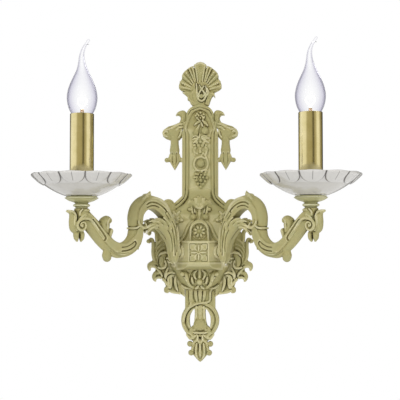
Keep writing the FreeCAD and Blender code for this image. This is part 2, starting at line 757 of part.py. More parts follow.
def rounded_wire(points, share=0.45):
    """Straight runs joined by tangent arcs, each as large as its two runs allow."""
    edges = []
    radii = []
    last = points[0]
    for before, here, after in zip(points, points[1:], points[2:]):
        back, ahead = (before - here), (after - here)
        shorter = min(back.Length, ahead.Length)
        back.normalize()
        ahead.normalize()
        turn = math.pi - back.getAngle(ahead)
        if turn < 1e-3:
            continue
        trim = share * shorter
        radii.append(trim / math.tan(turn / 2))
        start, end = here + back * trim, here + ahead * trim
        inward = (back + ahead).normalize()
        centre = here + inward * math.hypot(radii[-1], trim)
        middle = centre - inward * radii[-1]
        edges.append(Part.LineSegment(last, start).toShape())
        edges.append(Part.Arc(start, middle, end).toShape())
        last = end
    edges.append(Part.LineSegment(last, points[-1]).toShape())
    return Part.Wire(edges), radii


def tube_along(points, radius, label):
    """A round rod along a route; its radii and its volume against section times length are printed."""
    wire, radii = rounded_wire(points)
    start = points[1] - points[0]
    profile = Part.Wire([Part.Circle(points[0], start, radius).toShape()])
    shape = wire.makePipeShell([profile], True, False)
    if shape.Volume < 0:
        shape.reverse()
    expected = math.pi * radius ** 2 * wire.Length
    print(label, "length", round(wire.Length, 1), "least radius", round(min(radii), 1),
          "volume ratio", round(shape.Volume / expected, 4))
    return shape


def arm_points(side):
    return [arm_point(side, out, z) for out, z in arm_route()]


def make_arm_tube(side_name, side):
    points = arm_points(side)
    outer = tube_along(points, float(s.tube_radius), f"arm_tube_{side_name}")
    inner = tube_along(points, float(s.tube_bore), f"arm_tube_{side_name} bore")
    solid(f"arm_tube_{side_name}", outer.cut(inner))


def ring_at(side, out, z, run, rise, half, cheek):
    """An upright-section ellipse of the arm, square to its direction there."""
    centre = arm_point(side, out, z)
    along = arm_direction(side, run, rise).normalize()
    across = arm_point(side, 0, 0, 1.0) - arm_point(side, 0, 0)
    lift = along.cross(across).normalize()
    big, small = (lift, across) if half >= cheek else (across, lift)
    high, low = max(half, cheek), min(half, cheek)
    if high - low < 1e-6:
        return Part.Wire([Part.Circle(centre, along, high).toShape()])
    ellipse = Part.Ellipse(centre + big * high, centre + small * low, centre)
    return Part.Wire([ellipse.toShape()])


def arm_shape(side):
    """The cast arm: a swelling S round its tube, a root block, a flare at the neck, leaves and curls."""
    half, swell, cheek = float(s.arm_half), float(s.arm_swell), float(s.arm_cheek)
    route, _ = rounded_wire([V(out, 0, z) for out, z in arm_route()])
    top = float(s.neck_low_z)
    begin, end = 17.0, route.Length - (float(tube_top_z) - top) - 7.0
    count = 19
    rings = []
    for index in range(count):
        share = index / (count - 1)
        reach = begin + (end - begin) * share
        place, along = point_on(route, reach)
        bulge = swell * (1.0 + math.sin(share * 3 * math.pi))
        rings.append(ring_at(side, place.x, place.z, along.x, along.z, half + bulge, cheek + bulge / 2))
    body = Part.makeLoft(rings, True, False)
    root = root_block(side)
    flare = Part.makeCone(half + 2.5, float(s.neck_radius), 11.0,
                          arm_point(side, candle_out, top - 11.0), V(0, 0, 1))
    shape = body.fuse([root, flare] + arm_leaves(side))
    return shape.cut(tube_along(arm_points(side), float(bore_radius), "arm bore")).removeSplitter()


def make_arms():
    """The right arm and its mirror image."""
    right = arm_shape(1)
    solid("arm_right", right)
    solid("arm_left", right.mirror(V(0, 0, 0), V(1, 0, 0)))


def point_on(wire, reach):
    """The point and direction at a distance along a wire."""
    for edge in wire.OrderedEdges:
        if reach <= edge.Length:
            place = edge.getParameterByLength(reach)
            return edge.valueAt(place), edge.tangentAt(place)
        reach -= edge.Length
    last = wire.OrderedEdges[-1]
    return last.valueAt(last.LastParameter), last.tangentAt(last.LastParameter)


def plane_slab(side, corners, cheek):
    """A flat piece in the arm's plane, cheek thick to each side of it."""
    points = [arm_point(side, out, z, -cheek) for out, z in corners]
    face = Part.Face(Part.makePolygon(points + [points[0]]))
    return face.extrude(arm_point(side, 0, 0, 2 * cheek) - arm_point(side, 0, 0))


def round_in_plane(side, out, z, radius, cheek):
    centre = arm_point(side, out, z, -cheek)
    axis = arm_point(side, 0, 0, 1.0) - arm_point(side, 0, 0)
    return Part.makeCylinder(radius, 2 * cheek, centre, axis)


def root_block(side):
    near = float(arm_start)
    root = float(s.root_z)
    return plane_slab(side, [
        (near, root - 8), (near + 3, root - 14), (near + 12, root - 14), (near + 20, root - 8),
        (near + 20, root + 16), (near + 12, root + 30), (near + 3, root + 24), (near, root + 8)], 6.4)


def arm_leaves(side):
    """Leaf tip over the arch, acanthus under it, the curls on the slope and the drop under it."""
    arch, top, dip, low = float(s.arch_out), float(s.arch_z), float(s.dip_out), float(s.dip_z)
    tip = plane_slab(side, [(arch - 8, top - 2), (arch + 1, top + 9.5), (arch + 12, top - 1), (arch + 2, top - 6)], 4)
    acanthus = plane_slab(side, [
        (arch - 23, -8), (arch - 22, 14), (arch - 11, 18), (arch, 18.5), (arch + 7, 14), (arch + 9.5, 4),
        (arch + 6, 2), (arch + 3, 9), (arch - 6, 12), (arch - 12, 6), (arch - 16, -8)], 5)
    bud = round_in_plane(side, arch + 7.5, 1.5, 3.2, 4.5)
    slope_leaf = plane_slab(side, [(dip + 8, low + 16), (dip + 10, low + 37), (dip + 15, low + 44),
                                   (dip + 22, low + 43), (dip + 27, low + 32), (dip + 16, low + 12)], 4.6)
    slope_curl = round_in_plane(side, dip + 13, low + 38, 5.2, 5.2)
    drop = round_in_plane(side, dip + 17, low - 2.5, 6.4, 5.0)
    flare_leaf = plane_slab(side, [
        (float(candle_out) - 10, 14), (float(candle_out) + 1, 2), (float(candle_out) + 8, 6),
        (float(candle_out) + 10, 20), (float(candle_out) + 14, 27), (float(candle_out), 29)], 5)
    flare_curl = round_in_plane(side, float(candle_out) + 4, 6, 5.5, 5.6)
    return [tip, acanthus, bud, slope_leaf, slope_curl, drop, flare_leaf, flare_curl]


def make_arm_collar(side_name, side):
    axis = arm_direction(side, 1, 0)
    place = arm_point(side, arm_face, s.root_z)
    step = float(s.collar_length) / 2
    wide = Part.makeCylinder(float(s.collar_radius), step, place, axis)
    narrow = Part.makeCylinder(float(s.collar_radius) - 1.2, 2 * step, place, axis)
    hole = Part.makeCylinder(float(bore_radius + s.tube_fit), 2 * step + 2, place - axis, axis)
    solid(f"arm_collar_{side_name}", wide.fuse(narrow).cut(hole).removeSplitter())


def hexagon(centre, axis, flats, height, bore):
    """A hexagonal nut of a given half width across flats."""
    axis = V(axis).normalize()
    corner = flats / math.cos(math.pi / 6)
    level = V(0, 0, 1) if abs(axis.z) < 0.5 else V(1, 0, 0)
    other = axis.cross(level).normalize()
    points = [centre + level * (corner * math.cos(k * math.pi / 3)) + other * (corner * math.sin(k * math.pi / 3))
              for k in range(7)]
    block = Part.Face(Part.makePolygon(points)).extrude(axis * height)
    return block.cut(Part.makeCylinder(bore, height + 2, centre - axis, axis))


def make_tube_nut(side_name, side):
    inner = float(arm_face - s.wall)
    axis = arm_direction(side, -1, 0)
    solid(f"tube_nut_{side_name}",
          hexagon(arm_point(side, inner, s.root_z), axis, float(s.nut_flats), float(s.nut_height),
                  float(s.tube_radius) + 0.03))


def make_lead(side_name, side):
    """The lead's whole way: terminal block, housing, arm tube, lampholder."""
    start_x = float(s.terminal_pitch)
    behind = -float(bulge_inner) + float(s.block_depth) / 2
    tube = arm_points(side)
    entry = tube[0]
    inward = (tube[0] - tube[1]).normalize()
    route = [
        V(side * start_x, behind, float(s.block_low_z)),
        V(side * start_x, behind, float(s.block_low_z) - 13),
        entry + inward * 8.5] + tube[1:-1] + [
        V(tube[-1].x, tube[-1].y, float(holder_low_z) + 3)]
    solid(f"lead_{side_name}", tube_along(route, float(s.lead_radius), f"lead_{side_name}"))


# Neck, cup, dish and lampholder on each candle's axis

def make_neck_ring(side_name, x, y):
    bore, thin, bead = bore_radius, s.neck_radius, s.neck_bead_radius
    rise = s.neck_bead_z - s.neck_low_z
    turned(f"neck_ring_{side_name}", [
        (bore, s.neck_low_z), (thin, s.neck_low_z), (thin + 1.5, s.neck_low_z + rise / 4),
        (thin, s.neck_low_z + rise / 2), (bead, s.neck_bead_z, -1.0), (bead, s.neck_bead_z + rise / 4),
        (thin + 0.8, s.neck_bead_z + rise / 2), (thin + 0.8, s.cup_low_z), (bore, s.cup_low_z)], x, y)


def make_cup(side_name, x, y):
    turned(f"cup_{side_name}", [
        (bore_radius, s.cup_low_z), (s.cup_low_radius, s.cup_low_z, 1.4), (s.cup_radius, s.cup_wide_z),
        (s.cup_radius, s.cup_wide_z + 0.8), (s.cup_top_radius, s.cup_top_z), (bore_radius, s.cup_top_z)], x, y)


def make_dish_gasket(side_name, x, y):
    turned(f"dish_gasket_{side_name}", [
        (bore_radius, s.cup_top_z), (s.gasket_radius, s.cup_top_z), (s.gasket_radius, dish_foot_z),
        (bore_radius, dish_foot_z)], x, y)


def make_dish(side_name, x, y):
    """Shallow ceramic bowl on a foot ring, with a thickened scalloped rim line."""
    wall, sag = s.dish_wall, s.dish_sag
    floor_radius = s.foot_radius + wall
    turned(f"dish_{side_name}", [
        (bore_radius + 0.3, dish_foot_z), (s.foot_radius, dish_foot_z),
        (s.foot_radius + 1.5, dish_foot_z + 2.5, -sag), (s.dish_radius, s.dish_rim_z - 1),
        (s.dish_radius - 1, s.dish_rim_z), (s.dish_radius - wall + 0.8, s.dish_rim_z, sag),
        (floor_radius - 4, dish_floor_z + 1.2), (floor_radius - 8, dish_floor_z), (bore_radius + 0.3, dish_floor_z)],
        x, y)


def make_lock_nut(side_name, side):
    centre = arm_point(side, candle_out, dish_floor_z)
    solid(f"lock_nut_{side_name}",
          hexagon(centre, V(0, 0, 1), float(s.nut_flats), float(s.lock_nut_height), float(s.tube_radius) + 0.03))


def make_holder_bracket(side_name, x, y):
    """Bent strip: foot on the lock nut, upright, and the shelf that carries the lampholder."""
    body = new_body(f"holder_bracket_{side_name}", x, y)
    strip = new_sketch(body, XZ, f"bracket_{side_name}_side", -s.bracket_width / 2)
    reach, sheet_ = s.bracket_reach, s.bracket_sheet
    near = s.tube_radius + 2
    add_loop(strip, [
        (-near, bracket_z), (reach, bracket_z), (reach, s.bracket_top_z), (-near, s.bracket_top_z),
        (-near, s.bracket_top_z - sheet_), (reach - sheet_, s.bracket_top_z - sheet_),
        (reach - sheet_, bracket_z + sheet_), (-near, bracket_z + sheet_)])
    pad(body, strip, s.bracket_width)
    foot = new_sketch(body, XY, f"bracket_{side_name}_foot_hole", bracket_z - 1)
    add_circle(foot, 0, 0, s.tube_radius + 0.03)
    pocket(body, foot, sheet_ + 2, reverse=True)
    shelf = new_sketch(body, XY, f"bracket_{side_name}_shelf_hole", s.bracket_top_z - sheet_ - 1)
    add_circle(shelf, 0, 0, s.lead_hole_radius)
    pocket(body, shelf, sheet_ + 2, reverse=True)


def make_holder_body(side_name, x, y):
    low, top = holder_low_z, s.holder_top_z
    seat = s.shell_bore + s.shell_sheet + 0.05
    cavity_low = s.bulb_contact_z - s.contact_gap - 6
    turned(f"holder_body_{side_name}", [
        (s.lead_hole_radius, low), (s.holder_radius, low), (s.holder_radius, top - 1.5), (s.holder_radius - 1.5, top),
        (seat + 0.4, top), (seat + 0.4, s.shell_top_z), (seat, s.shell_top_z), (seat, s.shell_low_z),
        (s.shell_bore - 1, s.shell_low_z), (s.shell_bore - 1, cavity_low), (0, cavity_low),
        (0, low + 3), (s.lead_hole_radius, low + 3)], x, y)


def make_screw_shell(side_name, x, y):
    outer = s.shell_bore + s.shell_sheet
    turned(f"screw_shell_{side_name}", [
        (s.shell_bore, s.shell_low_z), (outer, s.shell_low_z), (outer, s.shell_top_z),
        (s.shell_bore, s.shell_top_z)], x, y)


def make_centre_contact(side_name, x, y):
    """Brass tongue at the bottom of the lampholder, just under the bulb's own contact."""
    low = s.bulb_contact_z - s.contact_gap - 6
    top = s.bulb_contact_z - s.contact_gap
    turned(f"centre_contact_{side_name}", [
        (0, low), (s.shell_bore - 2, low), (s.shell_bore - 2, low + 0.8), (2, low + 0.8), (2, top - 0.6),
        (1.4, top), (0, top)], x, y)


def make_sleeve(side_name, x, y):
    inner = s.sleeve_radius - s.sleeve_wall
    turned(f"sleeve_{side_name}", [
        (inner, dish_floor_z), (s.sleeve_radius, dish_floor_z), (s.sleeve_radius, s.sleeve_top_z - 0.4),
        (s.sleeve_radius - 0.4, s.sleeve_top_z), (inner, s.sleeve_top_z)], x, y)


# Bulb

def make_bulb_metal(side_name, x, y):
    low = s.bulb_contact_z
    dome_top = low + s.bulb_contact_height
    vitrite_top = dome_top + s.insulator_height
    turned(f"bulb_contact_{side_name}", [
        (0, low), (s.bulb_contact_radius - 0.8, low), (s.bulb_contact_radius, low + 0.8),
        (s.bulb_contact_radius, dome_top), (0, dome_top)], x, y)
    turned(f"bulb_insulator_{side_name}", [
        (0, dome_top), (s.bulb_contact_radius + 0.6, dome_top), (s.cap_radius - 1.2, vitrite_top),
        (0, vitrite_top)], x, y)
    inner = s.cap_radius - s.cap_sheet
    turned(f"bulb_cap_{side_name}", [
        (0, vitrite_top), (s.cap_radius - 1.2, vitrite_top), (s.cap_radius, vitrite_top + 1.2),
        (s.cap_radius, s.cap_top_z), (inner, s.cap_top_z), (inner, vitrite_top + 1.5), (0, vitrite_top + 1.5)], x, y)


def glass_rings(x, y, inset):
    """Circles up the candle-flame bulb; its tip leans towards +X."""
    wide, waist = float(s.glass_wide_z), float(s.glass_waist_z)
    radius, thin, top = float(s.glass_radius), float(s.glass_waist_radius), float(s.glass_top_z)
    neck_low = float(s.cap_top_z - s.glass_neck_height)
    mouth = float(s.sleeve_top_z)
    bend = float(s.glass_bend)
    levels = [
        (neck_low, float(s.glass_neck_radius), 0.0), (float(s.cap_top_z), float(s.glass_neck_radius), 0.0),
        ((float(s.cap_top_z) + mouth) / 2, (float(s.glass_neck_radius) + float(s.glass_mouth_radius)) / 2, 0.0),
        (mouth, float(s.glass_mouth_radius), 0.0), (mouth + 0.62 * (wide - mouth), radius * 0.94, 0.0),
        (wide, radius, 0.0), (wide + 0.3 * (waist - wide), radius * 0.93, 0.0),
        (waist - 0.36 * (waist - wide), (radius + thin) * 0.50, 0.0), (waist, thin, bend * 0.04),
        (waist + 0.31 * (top - waist), thin * 0.62, bend * 0.15),
        (top - 0.375 * (top - waist), thin * 0.40, bend * 0.42),
        (top - 0.125 * (top - waist), thin * 0.26, bend * 0.8), (top, thin * 0.2, bend)]
    rings = []
    for z, size, lean in levels:
        rings.append(Part.Wire([Part.Circle(V(x + lean, y, z), V(0, 0, 1), size - inset).toShape()]))
    return rings


def make_bulb_glass(side_name, side):
    place = arm_point(side, candle_out, 0)
    outer = Part.makeLoft(glass_rings(place.x, place.y, 0.0), True, False)
    inner = Part.makeLoft(glass_rings(place.x, place.y, float(s.glass_wall)), True, False)
    # the drawn tip is solid glass from a third of the way up above the waist
    reach = float(2 * s.glass_radius)
    tip_low = float(s.glass_waist_z + (s.glass_top_z - s.glass_waist_z) / 3)
    tip = Part.makeBox(reach, reach, reach, V(place.x - reach / 2, place.y - reach / 2, tip_low))
    solid(f"bulb_glass_{side_name}", outer.cut(inner.cut(tip)))


def make_bulb_inside(side_name, x, y, side):
    foot = s.cap_top_z - s.glass_neck_height
    turned(f"bulb_stem_{side_name}", [
        (0, foot), (s.glass_neck_radius - s.glass_wall - 0.4, foot), (s.stem_radius, foot + 8),
        (s.stem_radius * 0.6, s.stem_top_z), (0, s.stem_top_z)], x, y)
    place = arm_point(side, candle_out, 0)
    low, top = float(s.stem_top_z), float(s.filament_top_z)
    spread, wire = float(s.filament_spread), float(s.wire_radius)
    posts = [tube_along([place + V(k * 0.9, 0, low), place + V(k * 0.9, 0, low + 3), place + V(k * spread, 0, low + 7),
                         place + V(k * spread, 0, top)], wire, "filament post") for k in (-1, 1)]
    coil = tube_along([place + V(-spread, 0, top), place + V(-spread / 2, 0, top + 2.5),
                       place + V(0, 0, top - 1), place + V(spread / 2, 0, top + 2.5),
                       place + V(spread, 0, top)], wire * 1.2, "filament coil")
    joints = [Part.makeSphere(wire * 1.6, place + V(k * spread, 0, top)) for k in (-1, 1)]
    solid(f"filament_{side_name}", posts[0].fuse([posts[1], coil] + joints))


# Wiring

def make_terminal_block():
    body = new_body("terminal_block")
    low, high = s.block_low_z, s.block_low_z + s.block_height
    slab(body, "block", [(-s.block_half, low), (s.block_half, low), (s.block_half, high), (-s.block_half, high)],
         bulge_inner, s.block_depth)
    wells = new_sketch(body, XZ, "block_wells", bulge_inner - s.block_depth)
    for step in (-1, 0, 1):
        add_circle(wells, step * s.terminal_pitch, low + s.block_height / 2,
                   s.terminal_screw_radius + s.screw_clearance)
    pocket(body, wells, s.terminal_screw_length, reverse=True)


def make_terminal_screws():
    back = -float(bulge_inner - s.block_depth)
    z = float(s.block_low_z + s.block_height / 2)
    screws = [Part.makeCylinder(float(s.terminal_screw_radius), float(s.terminal_screw_length) - 1.5,
                                V(step * float(s.terminal_pitch), back - 1.5, z), V(0, -1, 0))
              for step in (-1, 0, 1)]
    solid("terminal_screws", Part.makeCompound(screws))


def make_earth_screw():
    """The earth screw in its tapped hole in the wall bar."""
    place = V(float(s.earth_screw_x), -float(s.bar_sheet), 0)
    head = Part.makeCylinder(float(s.earth_head_radius), float(s.earth_head_height), place, V(0, -1, 0))
    shank = Part.makeCylinder(float(s.earth_screw_radius), float(s.bar_sheet), place, V(0, 1, 0))
    solid("earth_screw", head.fuse(shank).removeSplitter())


def make_everything():
    make_wall_bar()
    make_fixing_screws()
    make_backplate()
    make_crest_shell()
    make_pendant()
    make_arm_housing()
    make_housing_screws()
    make_terminal_block()
    make_terminal_screws()
    make_earth_screw()
    make_arms()
    for side_name, side in SIDES:
        x, y = side * s.candle_x, -candle_y
        make_side_scroll(side_name, side)
        make_leaf_wing(side_name, side)
        make_arm_tube(side_name, side)
        make_arm_collar(side_name, side)
        make_tube_nut(side_name, side)
        make_lead(side_name, side)
        make_neck_ring(side_name, x, y)
        make_cup(side_name, x, y)
        make_dish_gasket(side_name, x, y)
        make_dish(side_name, x, y)
        make_lock_nut(side_name, side)
        make_holder_bracket(side_name, x, y)
        make_holder_body(side_name, x, y)
        make_screw_shell(side_name, x, y)
        make_centre_contact(side_name, x, y)
        make_sleeve(side_name, x, y)
        make_bulb_metal(side_name, x, y)
        make_bulb_glass(side_name, side)
        make_bulb_inside(side_name, x, y, side)


def write_pieces():
    """Checks every object and every piece's shape before the first file is written."""
    doc.recompute()
    for thing in doc.Objects:
        if "Invalid" in thing.State or "Error" in thing.State:
            raise RuntimeError(f"{thing.Name} failed: {thing.State}")
    for name in piece_names:
        shape = doc.getObject(name).Shape
        if shape.isNull() or not shape.isValid() or not shape.Solids:
            raise RuntimeError(f"{name} has no valid solid")
    os.makedirs("parts", exist_ok=True)
    for name in piece_names:
        shape = doc.getObject(name).Shape
        shape.exportStep(f"parts/{name}.step")
        print(f"{name:26s} solids {len(shape.Solids)}  volume {shape.Volume / 1000:8.2f} cm3")
    print(len(piece_names), "pieces")


make_everything()
write_pieces()
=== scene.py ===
# Double arm wall sconce: painted cast metal, glazed drip dishes, brass candle sleeves and clear bulbs
import json
import math
import bpy
import numpy as np
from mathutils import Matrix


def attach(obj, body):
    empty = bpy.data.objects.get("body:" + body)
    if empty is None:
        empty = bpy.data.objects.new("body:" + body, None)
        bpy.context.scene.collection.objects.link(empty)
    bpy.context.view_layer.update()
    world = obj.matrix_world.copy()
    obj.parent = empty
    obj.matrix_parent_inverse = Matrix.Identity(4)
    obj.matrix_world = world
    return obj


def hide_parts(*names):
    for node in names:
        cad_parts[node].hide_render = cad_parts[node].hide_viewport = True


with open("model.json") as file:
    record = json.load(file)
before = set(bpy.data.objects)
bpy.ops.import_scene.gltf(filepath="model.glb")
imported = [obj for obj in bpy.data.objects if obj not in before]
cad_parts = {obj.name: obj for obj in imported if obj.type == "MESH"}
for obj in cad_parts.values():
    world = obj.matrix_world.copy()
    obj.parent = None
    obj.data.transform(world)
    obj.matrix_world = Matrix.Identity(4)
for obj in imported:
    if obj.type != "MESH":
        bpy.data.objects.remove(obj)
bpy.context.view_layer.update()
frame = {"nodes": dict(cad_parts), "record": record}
import openvdb
from mathutils import Vector

MM = 0.001
SIDES = (("left", -1), ("right", 1))

# Real sizes in mm: d is the distance in front of the wall, x to the right, z up
CANDLE_X = 130.0
CANDLE_D = 108.09
ARM_ANGLE = math.radians(35.3)
ARM_ROOT = (18.3, 29.0)
WALL = 3.0
HOUSING_D = 46.0
ROSETTE_Z = 4.5
RING_R, RING_Z = 23.4, -104.0
COLUMN_HALF = 22.1
BODY_FRONT = 24.0
BOX_HALF = 12.0
BOX_TOP, BOX_LOW = -7.7, -33.5
TUBE_BORE = 5.1
TUBE_CASE_R = 5.8
ARM_START, CHEEK_FACE = 7.6, 7.9  # along the arm, out from its middle plane
COLLAR_START, COLLAR_END, COLLAR_BORE = 4.68, 7.58, 5.2
NECK_LOW, NECK_TOP, CUP_TOP = 29.5, 36.0, 43.3
SLEEVE_R, SLEEVE_BORE = 13.75, 12.85
SLEEVE_LOW, SLEEVE_TOP = 48.0, 137.7
BULB_WALL = 0.8
BULB_INSIDE_TOP = 218.0
CAMERA_AT = (64.56, -1206.2, -12.0)  # x, y, z
CAMERA_TURN = math.radians(3.1)
CAMERA_PITCH = math.radians(2.649)
LENS, SENSOR = 87.534, 36.0


def place_camera():
    """The camera at the photograph's viewing angle."""
    data = bpy.data.cameras.new("camera")
    data.sensor_width = SENSOR
    data.lens = LENS
    camera = bpy.data.objects.new("camera", data)
    camera.location = Vector(CAMERA_AT) * MM
    camera.rotation_euler = (math.radians(90) + CAMERA_PITCH, 0.0, CAMERA_TURN)
    bpy.context.scene.collection.objects.link(camera)
    bpy.context.scene.camera = camera


# Material tools
def linear(code):
    """An sRGB hex value as linear red, green, blue, alpha."""
    parts = [int(code[k:k + 2], 16) / 255 for k in (1, 3, 5)]
    return tuple(p / 12.92 if p <= 0.04045 else ((p + 0.055) / 1.055) ** 2.4 for p in parts) + (1.0,)


def add_node(tree, kind, settings=None, **inputs):
    """A node with its settings; an input is a value, or the socket that feeds it."""
    node = tree.nodes.new(kind)
    for name, value in (settings or {}).items():
        setattr(node, name, value)
    for name, value in inputs.items():
        key = name.replace("_", " ") if not name.startswith("i_") else int(name[2:])
        socket = node.inputs[key]
        if isinstance(value, bpy.types.NodeSocket):
            tree.links.new(value, socket)
        else:
            socket.default_value = value
    return node


def ramp(tree, factor, stops):
    """A colour ramp; a stop is (place, hex colour)."""
    node = add_node(tree, "ShaderNodeValToRGB", i_0=factor)
    elements = node.color_ramp.elements
    while len(elements) < len(stops):
        elements.new(0.5)
    for element, (place, code) in zip(elements, stops):
        element.position = place
        element.color = linear(code)
    return node.outputs[0]


def new_material(name, **plain):
    """A material, its tree and its shader, with the shader's plain values set by socket name."""
    material = bpy.data.materials.new(name)
    material.use_nodes = True
    shader = material.node_tree.nodes["Principled BSDF"]
    for label, value in plain.items():
        shader.inputs[label.replace("_", " ")].default_value = value
    return material, material.node_tree, shader


def bump(tree, shader, height, distance_mm):
    """Fine relief as deep as distance_mm."""
    node = add_node(tree, "ShaderNodeBump", Height=height, Strength=1.0, Distance=distance_mm * MM)
    tree.links.new(node.outputs[0], shader.inputs["Normal"])


def noise(tree, grain_mm, detail=4.0, place=None):
    """Noise whose largest blotch is about grain_mm across."""
    place = place or add_node(tree, "ShaderNodeTexCoord").outputs["Object"]
    return add_node(tree, "ShaderNodeTexNoise", Vector=place, Scale=1.0 / (grain_mm * MM), Detail=detail,
                    Roughness=0.55).outputs["Fac"]


def mix(tree, factor, first, second):
    """Two colours, hex or sockets, mixed by a factor."""
    node = add_node(tree, "ShaderNodeMix", {"data_type": "RGBA", "blend_type": "MIX"})
    for key, value in ((0, factor), (6, first), (7, second)):
        if isinstance(value, bpy.types.NodeSocket):
            tree.links.new(value, node.inputs[key])
        else:
            node.inputs[key].default_value = linear(value) if isinstance(value, str) else value
    return node.outputs[2]


def spread(tree, value, low, high, to_low=0.0, to_high=1.0):
    """A value's range from low to high, mapped to another range and clamped there."""
    return add_node(tree, "ShaderNodeMapRange", i_0=value, i_1=low, i_2=high, i_3=to_low,
                    i_4=to_high).outputs[0]


def math_node(tree, operation, *values, **settings):
    """One step of arithmetic on sockets or numbers."""
    return add_node(tree, "ShaderNodeMath", {"operation": operation, **settings},
                    **{f"i_{k}": value for k, value in enumerate(values)}).outputs[0]


def attribute(tree, name):
    """A value that the mesh carries at its points."""
    return add_node(tree, "ShaderNodeAttribute", {"attribute_name": name}).outputs["Fac"]


def two_tone(name, grain_mm, reach, first, second, detail=4.0, rough=None, relief=None, fine=None, **plain):
    """A material between two colours, patchy by one noise: reach is the noise's range that the colours span,
    rough the roughness from patch to patch, and relief the depth in mm of this noise, or of a fine one."""
    material, tree, shader = new_material(name, **plain)
    patches = noise(tree, grain_mm, detail)
    tree.links.new(mix(tree, spread(tree, patches, *reach), first, second), shader.inputs["Base Color"])
    if rough:
        tree.links.new(spread(tree, patches, 0.3, 0.7, *rough), shader.inputs["Roughness"])
    if relief:
        bump(tree, shader, noise(tree, fine) if fine else patches, relief)
    return material


def casting_paint():
    """Cast zinc alloy, painted: a champagne green-gold base brushed on, a dark umber wash left in the
    hollows, and a dry-brushed paler gold on the edges; the same tone also paints shade into the hollows and
    beside the relief and a highlight on what stands proud, so that every groove is dark and every ridge pale."""
    material, tree, shader = new_material("painted_casting", Metallic=0.15)
    hollow = attribute(tree, "hollow")
    blotch = noise(tree, 9.0)
    uneven = math_node(tree, "MULTIPLY_ADD", noise(tree, 1.3, 5.0), 0.16, hollow)
    worked = math_node(tree, "MULTIPLY_ADD", blotch, 0.12, uneven)
    shaded = math_node(tree, "SUBTRACT", worked, 0.14)
    tone = ramp(tree, shaded, [(0.0, "#2c2612"), (0.22, "#4d4420"), (0.40, "#857b49"), (0.52, "#b0a871"),
                               (0.72, "#bdb581"), (0.86, "#d3cb9b"), (1.0, "#ddd6ae")])
    green = mix(tree, spread(tree, blotch, 0.42, 0.68, 0.0, 0.35), tone, "#a5a878")
    tree.links.new(green, shader.inputs["Base Color"])
    tree.links.new(spread(tree, shaded, 0.1, 0.9, 0.72, 0.42), shader.inputs["Roughness"])
    bump(tree, shader, noise(tree, 0.9, 3.0), 0.12)
    return material


def turned_paint():
    """The same paint on the smooth turned neck and cup: brighter and greener, a little glossier, and hardly
    any wash, as the wash was wiped off what has no carving to hold it. The tone given along the profile
    paints shade into the creases and a highlight on the bead and the rim."""
    material, tree, shader = new_material("painted_turning", Metallic=0.25, Roughness=0.4)
    tone = ramp(tree, attribute(tree, "hollow"),
                [(0.0, "#5a5230"), (0.3, "#9a9462"), (0.5, "#bfbb88"), (0.8, "#d2cfa2"), (1.0, "#e9e6c8")])
    blotch = spread(tree, noise(tree, 14.0), 0.4, 0.7, 0.0, 0.3)
    tree.links.new(mix(tree, blotch, tone, "#a8ab7a"), shader.inputs["Base Color"])
    bump(tree, shader, noise(tree, 1.1, 3.0), 0.05)
    return material


def zinc_plate():
    """Mild steel, stamped or turned, then zinc plated and passivated: cool grey with a faint spangle."""
    material, tree, shader = new_material("zinc_plated_steel", Metallic=1.0)
    cells = add_node(tree, "ShaderNodeTexVoronoi",
                     Vector=add_node(tree, "ShaderNodeTexCoord").outputs["Object"],
                     Scale=1.0 / (3.0 * MM)).outputs["Color"]
    spangle = add_node(tree, "ShaderNodeSeparateColor", Color=cells).outputs[0]
    tree.links.new(mix(tree, spangle, "#aeb2b3", "#c4c7c6"), shader.inputs["Base Color"])
    tree.links.new(spread(tree, spangle, 0.0, 1.0, 0.3, 0.44), shader.inputs["Roughness"])
    bump(tree, shader, noise(tree, 2.0), 0.03)
    return material


def dish_glaze():
    """Stoneware dipped in a warm white glaze, with a thin brown line brushed round each petal before the
    glaze firing. The line is soft and uneven in strength; the glaze is greyest on the bowl's outside below
    the petals, less so inside, and least on the petals and rim."""
    material, tree, shader = new_material("white_glaze", Roughness=0.16, Coat_Weight=0.5, Coat_Roughness=0.06)
    base = mix(tree, attribute(tree, "pool"), "#e0deda", "#cfccc4")
    flecked = mix(tree, spread(tree, noise(tree, 0.8, 2.0), 0.66, 0.74, 0.0, 0.25), base, "#b9b09c")
    hand = spread(tree, noise(tree, 6.0, 3.0), 0.3, 0.62, 0.8, 1.0)
    strength = math_node(tree, "MULTIPLY", attribute(tree, "line"), hand)
    tree.links.new(mix(tree, strength, flecked, "#2e2016"), shader.inputs["Base Color"])
    bump(tree, shader, noise(tree, 5.0, 2.0), 0.12)
    return material


def sleeve_metal():
    """Seamless brass tube, satin brushed round its axis and lacquered: soft upright bands of light."""
    material, tree, shader = new_material("satin_brass", Metallic=1.0)
    place = add_node(tree, "ShaderNodeTexCoord").outputs["Object"]
    stretch = add_node(tree, "ShaderNodeMapping", {"vector_type": "POINT"}, Vector=place,
                       Scale=(0.05, 0.05, 1.0))
    # brush marks are about 0.05 mm apart, drawn at 0.5 mm so that they show
    brushed = noise(tree, 0.5, 3.0, stretch.outputs[0])
    cloud = spread(tree, noise(tree, 12.0), 0.35, 0.7)
    tree.links.new(mix(tree, cloud, "#f0e4b4", "#e4d8a2"), shader.inputs["Base Color"])
    tree.links.new(spread(tree, brushed, 0.3, 0.7, 0.14, 0.2), shader.inputs["Roughness"])
    bump(tree, shader, brushed, 0.02)
    return material


def plain_brass():
    """Stamped brass sheet, left bare: yellow, with the dull patches that handling leaves."""
    return two_tone("bare_brass", 4.0, (0.4, 0.7), "#d8b968", "#b7924a", rough=(0.22, 0.42), Metallic=1.0)


def cap_plate():
    """Nickel-plated bulb cap, rolled from thin sheet: bright and slightly warm, with fine roll marks."""
    return two_tone("nickel_plate", 3.0, (0.35, 0.7), "#cfcbc2", "#b5b0a4", rough=(0.2, 0.34), Metallic=1.0)


